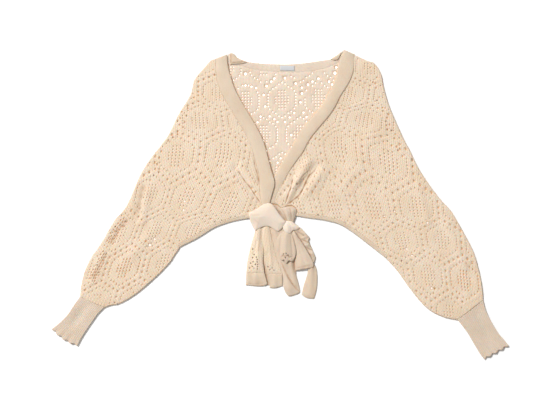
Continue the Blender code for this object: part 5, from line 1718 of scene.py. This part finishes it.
def loop_tree():
    """A ring of yarn at each point, as wide as the point's own size."""
    tree, given = new_tree("Eyelet_loops", Yarn=0.2)
    ring = add(tree, "GeometryNodeCurvePrimitiveCircle", named={"Resolution": 10, "Radius": 1.0})
    yarn = add(tree, "GeometryNodeCurvePrimitiveCircle",
               named={"Resolution": 5, "Radius": given["Yarn"]})
    torus = add(tree, "GeometryNodeCurveToMesh", ring, yarn)
    size = add(tree, "GeometryNodeInputNamedAttribute", data_type="FLOAT", named={"Name": "size"})
    made = add(tree, "GeometryNodeInstanceOnPoints", given["Geometry"],
               named={"Instance": torus, "Scale": size})
    return end_tree(tree, made, given)


def roll_tree():
    """An upright oval rope along a path, for a soft fold."""
    tree, given = new_tree("Rolled_fold", Width=1.1 * MM, Height=2.2 * MM)
    curve = add(tree, "GeometryNodeMeshToCurve", given["Geometry"])
    upright = add(tree, "GeometryNodeSetCurveNormal", curve, mode="Z_UP")
    circle = add(tree, "GeometryNodeCurvePrimitiveCircle", named={"Resolution": 10, "Radius": 1.0})
    size = add(tree, "ShaderNodeCombineXYZ", given["Width"], given["Height"], 1.0)
    oval = add(tree, "GeometryNodeTransform", circle, named={"Scale": size})
    rope = add(tree, "GeometryNodeCurveToMesh", upright, oval, named={"Fill Caps": True})
    bumps = add(tree, "ShaderNodeTexNoise", named={"Scale": 260.0, "Detail": 1.0}).outputs["Fac"]
    bumps = add(tree, "ShaderNodeMapRange", bumps, 0.3, 0.7, -0.4 * MM, 0.4 * MM)
    out = add(tree, "ShaderNodeVectorMath", add(tree, "GeometryNodeInputNormal"),
              operation="SCALE", named={"Scale": bumps})
    rough = add(tree, "GeometryNodeSetPosition", rope, named={"Offset": out})
    return end_tree(tree, rough, given)


# %% [markdown]
# A tree is run on a mesh of bare points or edges. The result is kept as a plain
# mesh and the modifier goes, so that the export finds nothing left to work out.

# %% Grow a tree on a path
extras = []


def grown(name, tree, points, edges=(), sizes=None, **inputs):
    """Runs a tree on a path or on points, and keeps the result as plain mesh."""
    base = bpy.data.meshes.new(name + "_path")
    base.from_pydata((np.asarray(points) * MM).tolist(), list(edges), [])
    if sizes is not None:
        base.attributes.new("size", "FLOAT", "POINT").data.foreach_set(
            "value", np.asarray(sizes, np.float32) * MM)
    piece = new_object(name, base)
    modifier = piece.modifiers.new("grow", "NODES")
    modifier.node_group = tree
    sockets = {item.name: item.identifier for item in tree.interface.items_tree
               if item.item_type == "SOCKET" and item.in_out == "INPUT"}
    modifier[sockets["Material"]] = strand
    for label, value in inputs.items():
        modifier[sockets[label]] = value
    shaped = piece.evaluated_get(bpy.context.evaluated_depsgraph_get())
    mesh = bpy.data.meshes.new_from_object(shaped)
    piece.modifiers.clear()
    piece.data = mesh
    extras.append(piece)
    print(name, triangle_count(piece), "triangles")
    return piece


def path_of(*lines):
    """Several open lines as points and edges of one path mesh."""
    points, edges, first = [], [], 0
    for line in lines:
        points.append(line)
        edges += [(first + k, first + k + 1) for k in range(len(line) - 1)]
        first += len(line)
    return np.vstack(points), edges


def at_height(line, height):
    """A line laid level at a height."""
    return np.column_stack([line[:, :2], np.full(len(line), height)])


# %% [markdown]
# Each tree goes where the garment has its repeat: ropes inside the folded edges,
# loops round the large eyelets, stitches beside the seams of the bands and of the
# front hems, and picots on the frills of the cuffs and of the longest tail. Picots
# and stitches are 2.3 to 3.6 mm apart, coarser than real ones, so that they show.

# %% Folds, loops, stitches and picots
STITCHES, LOOPS, ROLLS = stitch_tree(), loop_tree(), roll_tree()
FOLD_INSET, FOLD_MIDDLE = 0.8, 2.35
BIG_LOOP, STITCH_STEP = 1.55, 6.0

for side in (LEFT, RIGHT):
    folds = path_of(
        at_height(moved_aside(top_edge(side), side.turn * FOLD_INSET), FOLD_MIDDLE),
        at_height(moved_aside(underarm(side), -side.turn * FOLD_INSET), FOLD_MIDDLE),
    )
    grown(f"rolled_folds_{side.name}", ROLLS, *folds)

for panel, spots, height in (
    ("left", spots_left, front_under), ("right", spots_right, front_under),
    ("back", spots_back, None),
):
    spots = np.array([spot for spot in spots if spot[2] > BIG_LOOP])
    top = WALL - RIM_DROP - 0.1 + (height(spots[:, :2]) if height else 0.0)
    grown(f"eyelet_loops_{panel}", LOOPS,
          np.column_stack([spots[:, :2], top * np.ones(len(spots))]), sizes=spots[:, 2] + 0.15)

for side in (LEFT, RIGHT):
    rows = [(r.seam_x, r.seam_y, r.seam_lift + WALL / 2) for r in side.band]
    seam_line = smooth_line(rows, STITCH_STEP)
    beside = moved_aside(seam_line, -side.turn * BAND_LAP * 1.15)
    line = np.column_stack([beside, seam_line[:, 2]])
    line[:, 2] = np.maximum(line[:, 2] - 0.4, front_under(line[:, :2]) + WALL + 0.1)
    grown(f"band_stitches_{side.name}", STITCHES, *path_of(line))


def on_top(piece, line):
    """The height of a piece's upper face under each place of a line."""
    heights = []
    for x, y in line[:, :2]:
        hit, spot, _, _ = piece.ray_cast((x * MM, y * MM, 0.05), (0, 0, -1))
        heights.append(spot[2] / MM if hit else 0.0)
    return np.array(heights)


for side, frill in ((LEFT, frill_left), (RIGHT, frill_right)):
    line = frill[3:-3] - (0, 0, 0.7)
    grown(f"cuff_picots_{side.name}", STITCHES, *path_of(line),
          Spacing=2.3 * MM, Length=0.9 * MM, Thickness=0.75 * MM)
STRIP_FRILL = [(6, -147), (10, -156), (17, -168), (23, -178), (28, -186), (36, -196), (43, -206)]
line = smooth_line(STRIP_FRILL, 2.0)
line = np.column_stack([line, on_top(pieces["tail_strip"], line) + 0.3])
grown("strip_picots", STITCHES, *path_of(line), Spacing=2.6 * MM, Length=1.1 * MM, Thickness=1.0 * MM)

hem_lines = []
for side in (LEFT, RIGHT):
    line = moved_aside(seam(side.hem_edge), side.turn * (HEM_WIDTH + 0.4))
    hem_lines.append(np.column_stack([line, front_under(line) + WALL + 0.15]))
grown("hem_stitches", STITCHES, *path_of(*hem_lines))

# %% [markdown]
# The neck label is a small tape of woven polyester with turned ends, sewn on by
# its short sides. It is left bare.

# %% Neck label
LABEL_MIDDLE, LABEL_WIDTH, LABEL_HEIGHT = (17.0, 327.0), 34.0, 12.0
LABEL_TILT, LABEL_THICKNESS = math.radians(-1.5), 0.8
LABEL_ARCH, LABEL_SINK = 0.25, 0.2
TAPE_GREY, TAPE_PALE = "#c3c4c6", "#d3d4d6"


def woven_tape():
    """Smooth woven tape: a cool pale grey with the dull shine of polyester thread."""
    material, tree, shader = new_material("woven_polyester_tape")
    place = add(tree, "ShaderNodeUVMap", uv_map="cloth")
    threads = add(tree, "ShaderNodeTexWave", place, bands_direction="Y",
                  named={"Scale": 1.2, "Distortion": 0.3}).outputs["Fac"]
    weave = add(tree, "ShaderNodeBump",
                named={"Strength": 0.4, "Distance": 0.2 * MM, "Height": threads})
    tone = add(tree, "ShaderNodeMix", data_type="RGBA",
               named={"Factor": threads, 6: TAPE_GREY, 7: TAPE_PALE})
    fill(shader, {"Base Color": tone.outputs[2], "Normal": weave, "Roughness": 0.55})
    return material


def on_back(points, along, across):
    """The label lies on the back's single layer, pressed in a little."""
    return np.full(len(points), LAYER - LABEL_SINK)


turn_x = np.array([math.cos(LABEL_TILT), math.sin(LABEL_TILT)])
turn_y = np.array([-turn_x[1], turn_x[0]])
ends = [np.array(LABEL_MIDDLE) + turn_x * s * LABEL_WIDTH / 2 for s in (-1, 1)]
label = ribbon(
    "bare_neck_label",
    np.array([end + turn_y * LABEL_HEIGHT / 2 for end in ends]),
    np.array([end - turn_y * LABEL_HEIGHT / 2 for end in ends]),
    on_back, woven_tape(), across=8, arch=LABEL_ARCH, pitch=1.5, wall=LABEL_THICKNESS,
)
print("label", triangle_count(label), "triangles")

# %% [markdown]
# Every piece rides on the garment's one body, and most stand for an imported node,
# which is hidden.

# %% Ride and replace
def settle(piece, slot, *nodes):
    """Every piece rides on the body root, and most stand for a node, which is hidden; the slot is not
    used.
    """
    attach(piece, "root")
    if nodes:
        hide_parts(*nodes)


settle(back, "lace_knit", "back_with_sleeves")
settle(front_left, "lace_knit", "front_with_sleeve_left")
settle(front_right, "lace_knit", "front_with_sleeve_right")
settle(hem_back, "plain_knit", "back_hem")
settle(hem_left, "plain_knit", "front_hem_left")
settle(hem_right, "plain_knit", "front_hem_right")
settle(neck_band, "rib_knit", "back_neck_band")
settle(plain_left, "plain_knit", "band_left")
settle(plain_right, "plain_knit", "band_right")
settle(cuff_left, "rib_knit", "cuff_left")
settle(cuff_right, "rib_knit", "cuff_right")
settle(label, "label", "neck_label")
for piece in extras:
    finish = "plain_knit"
    if "loops" in piece.name or "folds" in piece.name:
        finish = "lace_knit"
    elif "cuff" in piece.name:
        finish = "rib_knit"
    settle(piece, finish)
for node, piece in pieces.items():
    settle(piece, "lace_knit" if node in ("tail_lace", "tail_middle") else "plain_knit", node)

# %% [markdown]
# A record for each sheet of cloth: its piece, the flat size that it was cut to,
# its area, how it is held, what it rests on, and which loops, stitches or picots
# belong to it. Only the record is defined here.

# %% The record for a sheet
Sheet = namedtuple(
    "Sheet", "piece width length held area rests_on parts", defaults=("laid", None, (), ()))
